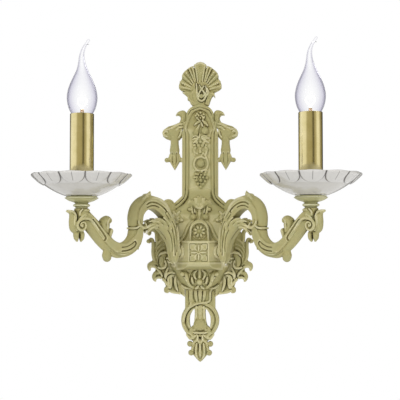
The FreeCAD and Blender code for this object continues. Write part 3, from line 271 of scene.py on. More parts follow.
def bulb_glass():
    """Blown clear glass, thin, drawn to a bent tip: it shows soft highlights, and grey-lilac edges that are
    a painted reflection, greyer the more the glass turns away from the camera.
    """
    material, tree, shader = new_material("clear_bulb_glass", Transmission_Weight=1.0, Roughness=0.0,
                                          IOR=1.06)
    edge = add_node(tree, "ShaderNodeLayerWeight", Blend=0.5).outputs["Facing"]
    # painted reflection: the colour greys towards the edges as the glass turns from the camera
    painted_edge_reflection = ramp(tree, edge, [(0.0, "#ffffff"), (0.14, "#f8f8fa"), (0.42, "#e8e7ee"), (0.62, "#cbcad3"),
                             (0.8, "#93929e"), (1.0, "#7c7b88")])
    tree.links.new(painted_edge_reflection, shader.inputs["Base Color"])
    return material


def stem_glass():
    """The pressed glass stem that holds the filament's wires, with the lamp's warm light painted on it."""
    return two_tone("pressed_stem_glass", 2.5, (0.35, 0.65), "#e9ddc6", "#cf9f68", Transmission_Weight=0.75,
                    Roughness=0.12)


def black_insulator():
    """Black glass pressed into the cap's end: glossy, with small pits."""
    return two_tone("black_vitrite", 0.7, (0.55, 0.7), "#17161a", "#2b2830", relief=0.05, Roughness=0.18)


def lit_filament():
    """Tungsten wire, drawn and coiled, glowing warm white: the one thing here that gives light."""
    material, tree, shader = new_material("glowing_tungsten", Emission_Strength=4.0,
                                          Base_Color=linear("#e8d6b8"), Roughness=0.5)
    heat = noise(tree, 1.5, 1.0)
    tree.links.new(mix(tree, heat, "#ffe2b0", "#fff3dc"), shader.inputs["Emission Color"])
    return material


def holder_resin():
    """Moulded phenolic lampholder, ivory white: even and slightly waxy, with faint flow marks."""
    return two_tone("moulded_phenolic", 8.0, (0.4, 0.65), "#e7e2d3", "#d9d3c1", 2.0, relief=0.02, fine=0.6,
                    Roughness=0.38)


def gasket_rubber():
    """Die-cut black rubber sheet: matt, dusty grey where it was handled."""
    return two_tone("rubber_sheet", 3.0, (0.45, 0.75), "#1d1d1e", "#3a3937", relief=0.04, fine=0.4,
                    Roughness=0.85)


def sheath_vinyl():
    """Extruded vinyl sheath of the internal leads: white, smooth, with faint draw lines."""
    return two_tone("vinyl_sheath", 2.0, (0.4, 0.7), "#e4e2dc", "#cfccc4", 2.0, relief=0.03, Roughness=0.45)


place_camera()
PAINT = casting_paint()
TURNED = turned_paint()
GLAZE = dish_glaze()
BRASS = sleeve_metal()
FINISHES = {
    "casting": PAINT, "zinc_steel": zinc_plate(), "glazed_ceramic": GLAZE, "sleeve_brass": BRASS,
    "contact_brass": plain_brass(), "cap_metal": cap_plate(), "bulb_clear_glass": bulb_glass(),
    "stem_glass": stem_glass(), "insulator_black": black_insulator(), "filament_wire": lit_filament(),
    "holder_plastic": holder_resin(), "gasket_rubber": gasket_rubber(), "lead_sheath": sheath_vinyl()}


# Meshes
def new_object(name, points_mm, faces, material, **attributes):
    """A mesh object at the origin from points (x, d, z) in mm; an attribute is one number for each point."""
    points = np.asarray(points_mm, np.float64) * MM
    points[:, 1] *= -1
    mesh = bpy.data.meshes.new(name)
    mesh.from_pydata(points.tolist(), [], [tuple(reversed(face)) for face in faces])
    mesh.polygons.foreach_set("use_smooth", [True] * len(mesh.polygons))
    for label, values in attributes.items():
        mesh.attributes.new(label, "FLOAT", "POINT").data.foreach_set("value", np.asarray(values, np.float32))
    mesh.materials.append(material)
    mesh.update()
    thing = bpy.data.objects.new(name, mesh)
    bpy.context.scene.collection.objects.link(thing)
    return thing


def hand_over(thing, slot, *nodes, body="root"):
    """Gives a piece to the frame: its body, and the CAD nodes that it shows, which are hidden.
    The material slot is not used.
    """
    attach(thing, body)
    if nodes:
        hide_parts(*nodes)


def curve(points, steps=8, closed=False):
    """A smooth line through points of any number of values, as rows."""
    p = np.asarray(points, float)
    if closed:
        p = np.vstack([p[-1], p, p[0], p[1]])
    else:
        p = np.vstack([2 * p[0] - p[1], p, 2 * p[-1] - p[-2]])
    t = np.linspace(0, 1, steps, endpoint=False)[:, None]
    rows = []
    for a, b, c, e in zip(p[:-3], p[1:-2], p[2:-1], p[3:]):
        rows.append(0.5 * (2 * b + (c - a) * t + (2 * a - 5 * b + 4 * c - e) * t ** 2
                           + (3 * b - a - 3 * c + e) * t ** 3))
    line = np.vstack(rows)
    return line if closed else np.vstack([line, p[-2]])


def ring_faces(count, sides, gap=None):
    """Quads between neighbouring rings of points, the last joined to the first, with none after the gap."""
    faces = []
    for row in range(count):
        if row == gap:
            continue
        after = (row + 1) % count
        for k in range(sides):
            j = (k + 1) % sides
            faces.append((row * sides + k, row * sides + j, after * sides + j, after * sides + k))
    return faces


def turned(name, profile, material, side, sides=96):
    """A piece turned about one candle's axis, from rows (radius, z, tone) that run outside up, then inside
    down to their start."""
    angle = np.linspace(0, 2 * math.pi, sides, endpoint=False)
    points, tones = [], []
    for radius, z, tone in profile:
        points.extend(zip(side * CANDLE_X + radius * np.cos(angle), CANDLE_D + radius * np.sin(angle),
                          [z] * sides))
        tones.extend([tone] * sides)
    return new_object(name, points, ring_faces(len(profile), sides), material, hollow=tones)


def make_necks_and_cups():
    """Turned neck with its bead, and the flat cup that carries the dish, a highlight painted on its rim."""
    # each row's last value is its tone: painted shade in the creases, a painted highlight on the bead and rim
    neck = curve([(6.4, NECK_LOW, 0.2), (6.9, 30.0, 0.5), (7.2, 30.6, 0.75), (7.0, 31.1, 0.25),
                  (8.4, 31.5, 0.4), (9.4, 32.2, 0.8), (9.6, 33.0, 0.95), (9.4, 33.8, 0.8), (8.4, 34.5, 0.4),
                  (7.3, 34.9, 0.2), (7.5, 35.4, 0.6), (7.6, NECK_TOP, 0.3)], 3)
    neck_bore = [(TUBE_BORE, NECK_TOP, 0.2), (TUBE_BORE, NECK_LOW, 0.2)]
    cup = curve([(8.2, NECK_TOP, 0.15), (8.8, 36.4, 0.45), (11.0, 37.1, 0.5), (13.8, 38.0, 0.55),
                 (16.2, 39.2, 0.62), (17.9, 40.3, 0.5), (18.4, 40.6, 0.3), (19.0, 41.0, 0.85),
                 (19.05, 41.5, 0.98), (18.7, 41.95, 0.9), (17.9, 42.2, 0.3), (17.7, 42.6, 0.7),
                 (17.6, CUP_TOP, 0.8)], 4)
    cup_bore = [(TUBE_BORE, CUP_TOP, 0.4), (TUBE_BORE, NECK_TOP, 0.3)]
    for side_name, side in SIDES:
        piece = turned(f"neck_{side_name}", list(neck) + neck_bore, TURNED, side, 64)
        hand_over(piece, "casting", f"neck_ring_{side_name}")
        piece = turned(f"cup_{side_name}_skin", list(cup) + cup_bore, TURNED, side)
        hand_over(piece, "casting", f"cup_{side_name}")


# Dish: one petal, repeated round the axis
PETALS = 12
DISH_R = 57.5
DISH_FOOT_R = 19.5
DISH_FOOT_Z = 44.0
DISH_RIM_Z = 69.0
DISH_WALL = 4.0
DISH_HOLE_R = 5.4
PETAL_LOW_R = 43.0
PETAL_RISE = 1.4
BOWL_SLANT = 1.28  # length down the bowl's side for one of radius
FIRST_PETAL = math.radians(-1.2)


def bowl_height(radius):
    """Outer surface of the bowl below the petals, a shallow curve from foot to rim."""
    share = np.clip((radius - DISH_FOOT_R) / (DISH_R - DISH_FOOT_R), 0, 1)
    return DISH_FOOT_Z + (DISH_RIM_Z - DISH_FOOT_Z) * (0.52 * share + 0.48 * share ** 2.1)


def petal_field(across, radius):
    """How far a point lies inside the petal's U, in mm, when it lies across mm beside the middle line."""
    half = math.pi / PETALS * radius
    low = PETAL_LOW_R + half / BOWL_SLANT
    round_end = half - np.sqrt(across ** 2 + (BOWL_SLANT * np.minimum(radius - low, 0)) ** 2)
    return np.where(radius >= low, half - np.abs(across), np.minimum(half, round_end))


def petal_sector():
    """One twelfth of the dish about the z axis: points, faces, and at each point the strength of the
    painted line and how grey the glaze is."""
    columns = np.linspace(-math.pi / PETALS, math.pi / PETALS, 45)
    outer = np.concatenate([[DISH_FOOT_R - 1.5, DISH_FOOT_R],
                            np.linspace(DISH_FOOT_R + 1.5, PETAL_LOW_R - 2, 7),
                            np.linspace(PETAL_LOW_R - 0.8, DISH_R - 0.6, 34)])
    inner = np.concatenate([np.linspace(DISH_R - 1.6, DISH_FOOT_R + 3, 12), [DISH_FOOT_R, 12.0, DISH_HOLE_R]])
    rows = []  # radius, height, line, grey share
    for radius in outer:
        across = columns * radius
        inside = petal_field(across, radius)
        swell = PETAL_RISE * np.clip(inside / 1.6, 0, 1) ** 0.6 * (inside > 0)
        half = math.pi / PETALS * radius
        crown = 0.9 * np.clip(1 - (across / half) ** 2, 0, 1) * np.clip(inside / 6, 0, 1)
        out = swell + crown
        edge = np.clip(1.5 - 1.5 * np.abs(inside - 0.25) / 0.95, 0, 1)
        tick = np.clip(1 - np.abs(across) / 0.55, 0, 1) * (radius > DISH_R - 9.5) * 0.75
        rows.append((np.minimum(radius + 0.25 * out, DISH_R), bowl_height(radius) - 0.9 * out,
                     np.where(radius > PETAL_LOW_R - 1.5, np.maximum(edge, tick), 0),
                     0.9 if radius < PETAL_LOW_R else 0.25))
    top = DISH_RIM_Z + 0.35 * np.cos(columns * PETALS)
    for inset, lift in ((0.15, -0.7), (1.2, 0.0), (2.6, -0.2)):
        rows.append((DISH_R - inset, top + lift - 0.35, 0.0, 0.0))
    for radius in inner:
        z = max(bowl_height(radius + 1.2) + DISH_WALL * 0.92, DISH_FOOT_Z + DISH_WALL)
        rows.append((radius, min(z, DISH_RIM_Z - 1.2), 0.0, 0.6))
    rows.append((DISH_HOLE_R, DISH_FOOT_Z, 0.0, 0.6))
    radius, z, line, pool = (np.concatenate([value + 0 * columns for value in column])
                             for column in zip(*rows))
    turn = np.tile(columns, len(rows))
    wide = len(columns)
    faces = []
    for row in range(len(rows)):
        after = (row + 1) % len(rows)
        for k in range(wide - 1):
            faces.append((row * wide + k, row * wide + k + 1, after * wide + k + 1, after * wide + k))
    return np.column_stack([radius * np.cos(turn), radius * np.sin(turn), z]), faces, line, pool


def new_tree(name, inputs):
    """A geometry tree with named inputs: the tree, its input node's outputs and each input's identifier."""
    tree = bpy.data.node_groups.new(name, "GeometryNodeTree")
    tree.interface.new_socket("Geometry", in_out="INPUT", socket_type="NodeSocketGeometry")
    tree.interface.new_socket("Geometry", in_out="OUTPUT", socket_type="NodeSocketGeometry")
    keys = {}
    for label, kind, value in inputs:
        socket = tree.interface.new_socket(label, in_out="INPUT", socket_type=kind)
        socket.default_value = value
        keys[label] = socket.identifier
    return tree, add_node(tree, "NodeGroupInput").outputs, keys


WELD = 0.02 * MM


def close_tree(tree, instances, material):
    """Ends a tree: the instances become real faces with their material."""
    real = add_node(tree, "GeometryNodeRealizeInstances", Geometry=instances)
    joined = add_node(tree, "GeometryNodeMergeByDistance", Geometry=real.outputs[0], Distance=WELD)
    smooth = add_node(tree, "GeometryNodeSetShadeSmooth", Geometry=joined.outputs[0])
    dressed = add_node(tree, "GeometryNodeSetMaterial", Geometry=smooth.outputs[0], Material=material)
    add_node(tree, "NodeGroupOutput", Geometry=dressed.outputs[0])


def grow(thing, tree, keys, name, **values):
    """Runs a tree on an object and gives its result as a plain mesh object; the first object is removed."""
    modifier = thing.modifiers.new("grow", "NODES")
    modifier.node_group = tree
    for label, value in values.items():
        modifier[keys[label.replace("_", " ")]] = value
    bpy.context.view_layer.update()
    grown = thing.evaluated_get(bpy.context.evaluated_depsgraph_get())
    mesh = bpy.data.meshes.new_from_object(grown)
    thing.modifiers.remove(modifier)
    bpy.data.objects.remove(thing)
    mesh.name = name
    made = bpy.data.objects.new(name, mesh)
    bpy.context.scene.collection.objects.link(made)
    return made


def petal_tree():
    """Repeats one sector round the z axis, then moves the ring to its candle's axis."""
    tree, inputs, keys = new_tree("petals_round_axis", [
        ("Petals", "NodeSocketInt", PETALS), ("First angle", "NodeSocketFloat", FIRST_PETAL),
        ("Axis", "NodeSocketVector", (0.0, 0.0, 0.0))])
    spots = add_node(tree, "GeometryNodeMeshLine", {"mode": "OFFSET"}, Count=inputs["Petals"],
                     Offset=(0.0, 0.0, 0.0))
    step = math_node(tree, "DIVIDE", 2 * math.pi, inputs["Petals"])
    index = add_node(tree, "GeometryNodeInputIndex").outputs[0]
    angle = math_node(tree, "MULTIPLY_ADD", index, step, inputs["First angle"])
    turn = add_node(tree, "ShaderNodeCombineXYZ", Z=angle)
    placed = add_node(tree, "GeometryNodeInstanceOnPoints", Points=spots.outputs[0],
                      Instance=inputs["Geometry"], Rotation=turn.outputs[0])
    moved = add_node(tree, "GeometryNodeTranslateInstances", Instances=placed.outputs[0],
                     Translation=inputs["Axis"], Local_Space=False)
    close_tree(tree, moved.outputs[0], GLAZE)
    return tree, keys


def make_dishes():
    """Both glazed dishes, each grown from one petal's sector."""
    points, faces, line, pool = petal_sector()
    tree, keys = petal_tree()
    for side_name, side in SIDES:
        sector = new_object(f"petal_{side_name}", points, faces, GLAZE, line=line, pool=pool)
        dish = grow(sector, tree, keys, f"dish_{side_name}_glazed",
                    Axis=(side * CANDLE_X * MM, -CANDLE_D * MM, 0.0))
        hand_over(dish, "glazed_ceramic", f"dish_{side_name}")


def make_sleeves():
    """Brass candle sleeve with a small rolled lip at the top."""
    outline = [(SLEEVE_R, 137.2), (13.6, 137.6), (13.3, SLEEVE_TOP), (13.0, 137.6), (SLEEVE_BORE, 137.2),
               (SLEEVE_BORE, 48.2), (12.9, SLEEVE_LOW), (13.6, SLEEVE_LOW), (SLEEVE_R, 48.2)]
    for side_name, side in SIDES:
        piece = turned(f"sleeve_{side_name}_tube", [(r, z, 0.5) for r, z in outline], BRASS, side, 128)
        hand_over(piece, "sleeve_brass", f"sleeve_{side_name}")


def bulb_line():
    """Rows (height, radius, lean) up the candle-flame bulb."""
    return curve([(121.0, 6.3, 0.0), (124.0, 6.3, 0.0), (126.3, 6.5, 0.0), (131.8, 9.0, 0.0),
                  (137.7, 12.2, 0.0), (144.0, 15.2, 0.0), (151.0, 17.0, 0.0), (158.5, 17.4, 0.0),
                  (168.0, 15.5, 0.0), (178.0, 11.4, 0.0), (184.5, 8.3, 0.0), (189.5, 6.2, -0.2),
                  (194.5, 4.7, -0.5), (199.5, 3.7, -0.8), (204.5, 3.0, -0.8), (209.0, 2.5, -0.1),
                  (213.0, 2.15, 1.2), (216.5, 1.9, 2.9), (219.4, 1.7, 4.8), (221.0, 1.75, 6.0),
                  (222.4, 1.8, 6.7), (223.4, 1.3, 7.0), (223.9, 0.5, 7.1)], 3)


def make_bulb_skins():
    """Blown envelope with a real wall, its tip leaning to +X and ending in the small bead of the seal."""
    outer = list(bulb_line())
    inner = [(min(z, BULB_INSIDE_TOP), radius - BULB_WALL, lean) for z, radius, lean in reversed(outer)
             if radius - BULB_WALL > 0.6]
    rows = outer + inner
    sides = 96
    angle = np.linspace(0, 2 * math.pi, sides, endpoint=False)
    faces = ring_faces(len(rows), sides, len(outer) - 1)
    faces.append(tuple((len(outer) - 1) * sides + k for k in range(sides)))
    faces.append(tuple(len(outer) * sides + k for k in reversed(range(sides))))
    for side_name, side in SIDES:
        points = []
        for z, radius, lean in rows:
            points.extend(zip(side * CANDLE_X + lean + radius * np.cos(angle),
                              CANDLE_D + radius * np.sin(angle), [z] * sides))
        piece = new_object(f"bulb_{side_name}_envelope", points, faces, FINISHES["bulb_clear_glass"])
        hand_over(piece, "bulb_clear_glass", f"bulb_glass_{side_name}", body=f"bulb_{side_name}")


# Carving: each casting is modelled like wax, built up, cut and engraved as a distance field on a fine grid
SKIN = 4.0
# how far from the surface the wash and the wear, the painted shade and the painted highlight look,
# in mm, and the tone of a plain flat
CLOSE_REACH, WIDE_REACH, PROUD_REACH = 1.1, 3.6, 2.6
PLAIN_TONE = 0.61


def soft_min(first, second, blend):
    """The lesser of two distances, rounded over where they are within blend mm of each other."""
    near = np.maximum(blend - np.abs(first - second), 0) / blend
    return np.minimum(first, second) - near * near * (blend / 4)


def polygon_field(outline, across, up):
    """Signed distance in mm to an outline in the plane, below zero inside it."""
    corners = np.asarray(outline, np.float32)
    best = np.full(np.broadcast_shapes(across.shape, up.shape), 1e9, np.float32)
    inside = np.zeros(best.shape, bool)
    for (ax, az), (bx, bz) in zip(corners, np.roll(corners, -1, 0)):
        ex, ez = bx - ax, bz - az
        px, pz = across - ax, up - az
        share = np.clip((px * ex + pz * ez) / max(ex * ex + ez * ez, 1e-9), 0, 1)
        best = np.minimum(best, (px - share * ex) ** 2 + (pz - share * ez) ** 2)
        if abs(ez) > 1e-9:
            crosses = ((az > up) != (bz > up)) & (across < ex * (up - az) / ez + ax)
            inside ^= crosses
    return np.where(inside, -np.sqrt(best), np.sqrt(best))


def mirrored(outline):
    """A right-hand outline and its mirror image, as one closed outline."""
    return [tuple(p) for p in outline] + [(-x, z) for x, z in reversed(outline)]


class Clay:
    """A block of wax: field is the distance to its surface in mm, below zero inside, cut off at SKIN."""

    def __init__(self, low, high, grain):
        """Empty space between two corners (x, d, z), with grid points a grain apart."""
        self.grain = grain
        self.whole = None  # the wax before its bore, from which the tone is taken
        self.axes = [np.float32(a) + np.float32(grain) * np.arange(int((b - a) / grain) + 2, dtype=np.float32)
                     for a, b in zip(low, high)]
        self.field = np.full([len(axis) for axis in self.axes], SKIN, np.float32)

    def near(self, low, high, margin=SKIN):
        """The part of the grid near a box: its slices and its three coordinates."""
        cuts, places = [], []
        for k, (axis, a, b) in enumerate(zip(self.axes, low, high)):
            first = min(max(int((a - margin - axis[0]) / self.grain), 0), len(axis) - 1)
            last = min(max(int((b + margin - axis[0]) / self.grain) + 2, first + 1), len(axis))
            cuts.append(slice(first, last))
            shape = [1, 1, 1]
            shape[k] = -1
            places.append(axis[first:last].reshape(shape))
        return tuple(cuts), places

    def join(self, cuts, shape, blend, cut=False):
        """Adds a shape, given as distances on a part of the grid, or cuts it away."""
        here = self.field[cuts]
        if cut:
            self.field[cuts] = -soft_min(-here, shape, blend)
        else:
            self.field[cuts] = soft_min(here, shape, blend)

    def plate(self, outline, back, front, edge=1.0, blend=0.5, cut=False):
        """A plate of an outline (x, z) between two depths, with its edges rounded."""
        corners = np.asarray(outline, float)
        low = (corners[:, 0].min(), back, corners[:, 1].min())
        high = (corners[:, 0].max(), front, corners[:, 1].max())
        cuts, (x, d, z) = self.near(low, high)
        side = polygon_field(outline, x, z) + edge
        face = np.abs(d - (back + front) / 2) - (front - back) / 2 + edge
        shape = (np.minimum(np.maximum(side, face), 0)
                 + np.sqrt(np.maximum(side, 0) ** 2 + np.maximum(face, 0) ** 2) - edge)
        self.join(cuts, shape.astype(np.float32), blend, cut)

    def stroke(self, points, flat=1.0, blend=0.6, cut=False):
        """A round rope through rows (x, d, z, radius); flat below 1 makes it low."""
        rows = np.asarray(points, np.float32)
        reach = rows[:, 3].max()
        cuts, _ = self.near(rows[:, :3].min(0) - reach, rows[:, :3].max(0) + reach, 2.0 + blend)
        shape = np.full(self.field[cuts].shape, SKIN, np.float32)
        for a, b in zip(rows[:-1], rows[1:]):
            wide = max(a[3], b[3])
            inner, (x, d, z) = self.near(np.minimum(a[:3], b[:3]) - wide, np.maximum(a[:3], b[:3]) + wide,
                                         2.0 + blend)
            local = tuple(slice(max(i.start - c.start, 0), min(i.stop, c.stop) - c.start)
                          for i, c in zip(inner, cuts))
            x, d, z = (v.reshape(-1)[:s.stop - s.start].reshape(v.shape[:k] + (-1,) + v.shape[k + 1:])
                       for k, (v, s) in enumerate(zip((x, d, z), local)))
            ex, ed, ez = b[0] - a[0], (b[1] - a[1]) / flat, b[2] - a[2]
            px, pd, pz = x - a[0], (d - a[1]) / flat, z - a[2]
            long = max(ex * ex + ed * ed + ez * ez, 1e-9)
            share = np.clip((px * ex + pd * ed + pz * ez) / long, 0, 1)
            away = np.sqrt((px - share * ex) ** 2 + (pd - share * ed) ** 2 + (pz - share * ez) ** 2)
            shape[local] = np.minimum(shape[local], away - (a[3] + share * (b[3] - a[3])))
        self.join(cuts, shape, blend, cut)

    def ball(self, x, d, z, radius, flat=1.0, blend=0.5, cut=False):
        """A ball, or a lens when flat is below 1."""
        self.stroke([(x, d, z, radius), (x + 0.01, d, z, radius)], flat, blend, cut)

    def front(self, x, z):
        """How far in front of the wall the surface lies at (x, z)."""
        i = int(round((x - self.axes[0][0]) / self.grain))
        k = int(round((z - self.axes[2][0]) / self.grain))
        i = min(max(i, 0), len(self.axes[0]) - 1)
        k = min(max(k, 0), len(self.axes[2]) - 1)
        column = self.field[i, :, k]
        solid = np.nonzero(column < 0)[0]
        if len(solid) == 0:
            return float(self.axes[1][0])
        last = solid[-1]
        if last + 1 >= len(column):
            return float(self.axes[1][-1])
        share = column[last] / (column[last] - column[last + 1])
        return float(self.axes[1][last] + share * self.grain)

    def on(self, points, lift, radius=None, end=None):
        """Rows for a stroke laid on the surface and lifted from it, through points (x, z, radius), or through
        points (x, z) with a radius that runs to end along the stroke."""
        rows = []
        for index, point in enumerate(points):
            if radius is None:
                size = point[2]
            else:
                size = radius + ((end or radius) - radius) * index / max(len(points) - 1, 1)
            rows.append((point[0], self.front(point[0], point[1]) + lift, point[1], size))
        return rows

    def unfold(self, axis=0):
        """Adds the mirror image across the first grid plane, which lies at zero on that axis."""
        def doubled(field):
            """The field with its mirror image before it."""
            mirror = np.flip(field, axis)
            mirror = mirror[:-1] if axis == 0 else mirror[:, :-1]
            return np.concatenate([mirror, field], axis)
        self.field = doubled(self.field)
        if self.whole is not None:
            self.whole = doubled(self.whole)
        self.axes[axis] = np.concatenate([-self.axes[axis][:0:-1], self.axes[axis]])

    def sample(self, points):
        """The field at points (x, d, z)."""
        field = self.field if self.whole is None else self.whole
        spots = [(points[:, k] - self.axes[k][0]) / self.grain for k in range(3)]
        base = [np.clip(s.astype(int), 0, n - 2) for s, n in zip(spots, field.shape)]
        part = [np.clip(s - b, 0, 1) for s, b in zip(spots, base)]
        total = 0
        for corner in range(8):
            bits = [(corner >> k) & 1 for k in range(3)]
            weight = 1
            for k in range(3):
                weight = weight * (part[k] if bits[k] else 1 - part[k])
            total = total + weight * field[base[0] + bits[0], base[1] + bits[1], base[2] + bits[2]]
        return total

    def cast(self, name, material, place=None, flip=False):
        """The wax as a mesh, with its tone: wash and painted shade in fine grooves, painted shade in wider
        hollows and beside the relief, wear and a painted highlight on thin edges, and a painted highlight on
        what stands proud.
        """
        grid = openvdb.FloatGrid(SKIN)
        grid.copyFromArray(np.ascontiguousarray(self.field))
        spots, threes, fours = grid.convertToPolygons(0.0, 0.0)
        points = spots * self.grain + np.array([axis[0] for axis in self.axes], np.float32)
        normal = np.stack([self.sample(points + step) - self.sample(points - step)
                           for step in np.eye(3, dtype=np.float32) * self.grain], 1)
        normal /= np.maximum(np.linalg.norm(normal, axis=1, keepdims=True), 1e-6)
        # close and wide: painted shade, close also the wash; edge and proud: painted highlight, edge also
        # wear
        close = np.clip(1 - self.sample(points + normal * CLOSE_REACH) / CLOSE_REACH, 0, 1)
        wide = np.clip(1 - self.sample(points + normal * WIDE_REACH) / WIDE_REACH, 0, 1)
        edge = np.clip(1 + self.sample(points - normal * CLOSE_REACH) / CLOSE_REACH, 0, 1)
        proud = np.clip(1 + self.sample(points - normal * PROUD_REACH) / PROUD_REACH, 0, 1)
        tone = np.clip(PLAIN_TONE + 0.34 * edge + 0.32 * proud - 0.42 * close - 0.24 * wide, 0, 1)
        if place is not None:
            points = place(points)
        if flip:
            threes, fours = threes[:, ::-1], fours[:, ::-1]
        return mesh_from_grid(name, points, threes, fours, material, tone)


PIECE_TRIANGLES = 196000
# with this weight on every point, length counts a little beside form, so that flats keep points for the tone
EVEN_WEIGHT = 0.5
EVEN_FACTOR = 1e-5


def mesh_from_grid(name, points, threes, fours, material, tone):
    """A mesh object from arrays of points (x, d, z) in mm, triangles and quads."""
    world = points.astype(np.float64) * MM
    world[:, 1] *= -1
    loops = np.concatenate([threes[:, ::-1].ravel(), fours[:, ::-1].ravel()]).astype(np.int32)
    sizes = np.concatenate([np.full(len(threes), 3), np.full(len(fours), 4)]).astype(np.int32)
    mesh = bpy.data.meshes.new(name)
    mesh.vertices.add(len(world))
    mesh.vertices.foreach_set("co", world.astype(np.float32).ravel())
    mesh.loops.add(len(loops))
    mesh.loops.foreach_set("vertex_index", loops)
    mesh.polygons.add(len(sizes))
    mesh.polygons.foreach_set("loop_start", np.concatenate([[0], np.cumsum(sizes)[:-1]]).astype(np.int32))
    mesh.polygons.foreach_set("use_smooth", np.ones(len(sizes), bool))
    mesh.update(calc_edges=True)
    # the tone: wash and wear, with painted shade in hollows and a painted highlight on edges and proud parts
    mesh.attributes.new("hollow", "FLOAT", "POINT").data.foreach_set("value", tone.astype(np.float32))
    mesh.materials.append(material)
    thing = bpy.data.objects.new(name, mesh)
    bpy.context.scene.collection.objects.link(thing)
    count = len(threes) + 2 * len(fours)
    if count > PIECE_TRIANGLES:
        thin_out(thing, PIECE_TRIANGLES / count)
    return thing


def thin_out(thing, share):
    """Merges the smallest triangles, where the surface is flattest first, down to a share of them."""
    thing.vertex_groups.new(name="free").add(range(len(thing.data.vertices)), EVEN_WEIGHT, "REPLACE")
    merge = thing.modifiers.new("thin_out", "DECIMATE")
    merge.ratio = share
    merge.vertex_group = "free"
    merge.vertex_group_factor = EVEN_FACTOR
    whole = thing.data
    thing.data = bpy.data.meshes.new_from_object(thing.evaluated_get(bpy.context.evaluated_depsgraph_get()))
    thing.data.name = whole.name
    bpy.data.meshes.remove(whole)
    thing.modifiers.clear()
    thing.vertex_groups.clear()


# Ornament that the castings share
LEAF_TIP = 0.35


def leaf(clay, spine, thin, thick, depth, rise=0.0, flat=0.7, vein=0.5):
    """A pointed leaf along a spine of (x, z), at depth plus a rise at its middle, with a groove along it."""
    line = curve(spine, 5)
    share = np.linspace(0, 1, len(line))
    radius = thin + (LEAF_TIP - thin) * share + (thick - (thin + LEAF_TIP) / 2) * np.sin(math.pi * share)
    deep = depth + rise * np.sin(math.pi * share)
    clay.stroke(np.column_stack([line[:, 0], deep, line[:, 1], radius]), flat, 0.5)
    if vein:
        inner = slice(1, max(len(line) - 2, 3))
        cut = np.column_stack([line[inner, 0], deep[inner] + radius[inner] * flat, line[inner, 1],
                               np.minimum(vein, 0.45 * radius[inner])])
        clay.stroke(cut, 1.0, 0.3, cut=True)


def oval(x, z, across, up, angles):
    """Points (x, z) round a centre, at angles in radians."""
    return [(x + across * math.cos(a), z + up * math.sin(a)) for a in angles]


def block(left, right, low, high):
    """The outline of an upright rectangle."""
    return [(left, low), (right, low), (right, high), (left, high)]


beads = []


def bead(x, d, z, radius):
    """Notes one bead; all of them are made by one tree at the end."""
    beads.append((x, d, z, radius))


# Backplate: frame, sunk panel, bulging body and the relief on them
def column_outline():
    """The plate's outline: the box at the bottom, the column and its arch."""
    arch = oval(0.0, 147.5, 17.0, 13.8, np.radians(range(0, 91, 10)))
    return mirrored([(20, -66), (40, -40), (40, 32), (COLUMN_HALF, 48.4), (COLUMN_HALF, 126.5),
                     (20.4, 131.5), (20.4, 139), (17.2, 141)] + arch[:-1] + [(0.01, 161.3)])


PANEL_EDGE = [(14, -72), (48, -44), (48, 22), (35, 28.4), (26.3, 32.5), (21.1, 37.7), (16.7, 42.5),
              (14.1, 49.1), (13.2, 57.9), (12.8, 97.6), (13.2, 124), (14.7, 127.8), (16.4, 130.5),
              (14.7, 135.4), (13.2, 139.9), (11.7, 143.7), (8.3, 149.4), (5.3, 152.4), (0.01, 154.2)]
GROOVE_LINE = [(14, -74), (50, -44), (50, 22), (38.6, 31.6), (34.3, 34.4), (26.4, 39.5), (20.2, 45.6),
               (18.2, 51.3), (18, 57.9), (17.8, 97.8), (17.9, 125), (18.6, 127.3), (19.4, 130.7), (19, 134.2),
               (17.6, 140.2), (16, 146.6), (11.8, 154.2), (0.01, 158.2)]
BODY_FOOT = [(14, -65), (24.6, -57.6), (36.4, -38), (37, 27), (29, 33.6), (20.6, 39.4), (15.4, 46),
             (13.4, 56), (0.01, 60)]
PANEL_D = 14.4


def plate_height(x, z):
    """The plate's face over the wall: bevelled edge, groove, rail, sunk panel and the body it swells to."""
    inset = -polygon_field(column_outline(), x, z)
    groove = -polygon_field(mirrored(GROOVE_LINE), x, z)
    panel = polygon_field(mirrored(PANEL_EDGE), x, z)
    edge = np.interp(inset, [0.0, 0.7, 1.2, 1.5, 1.9, 2.6, 4.6], [12.4, 14.4, 15.0, 14.7, 15.6, 15.9, 15.6])
    rail = np.interp(groove / np.maximum(groove + panel, 0.01), [0.0, 0.1, 0.2, 0.45, 0.7, 0.88, 1.0],
                     [14.8, 15.0, 16.6, 17.5, 17.2, 15.6, PANEL_D])
    face = np.where(groove < 0, edge, np.where(panel > 0, rail, PANEL_D))
    swell_in = np.interp(-polygon_field(mirrored(BODY_FOOT), x, z), [0.0, 1.0, 2.5, 5.0, 8.0, 12.0],
                         [0.0, 1.4, 3.8, 6.8, 8.8, 9.6])
    climb = np.interp(z, [35.0, 40.0, 45.0, 50.0, 55.0, 60.0], [9.6, 8.0, 5.2, 2.6, 0.8, 0.0])
    return np.maximum(face, PANEL_D + np.minimum(swell_in, climb))


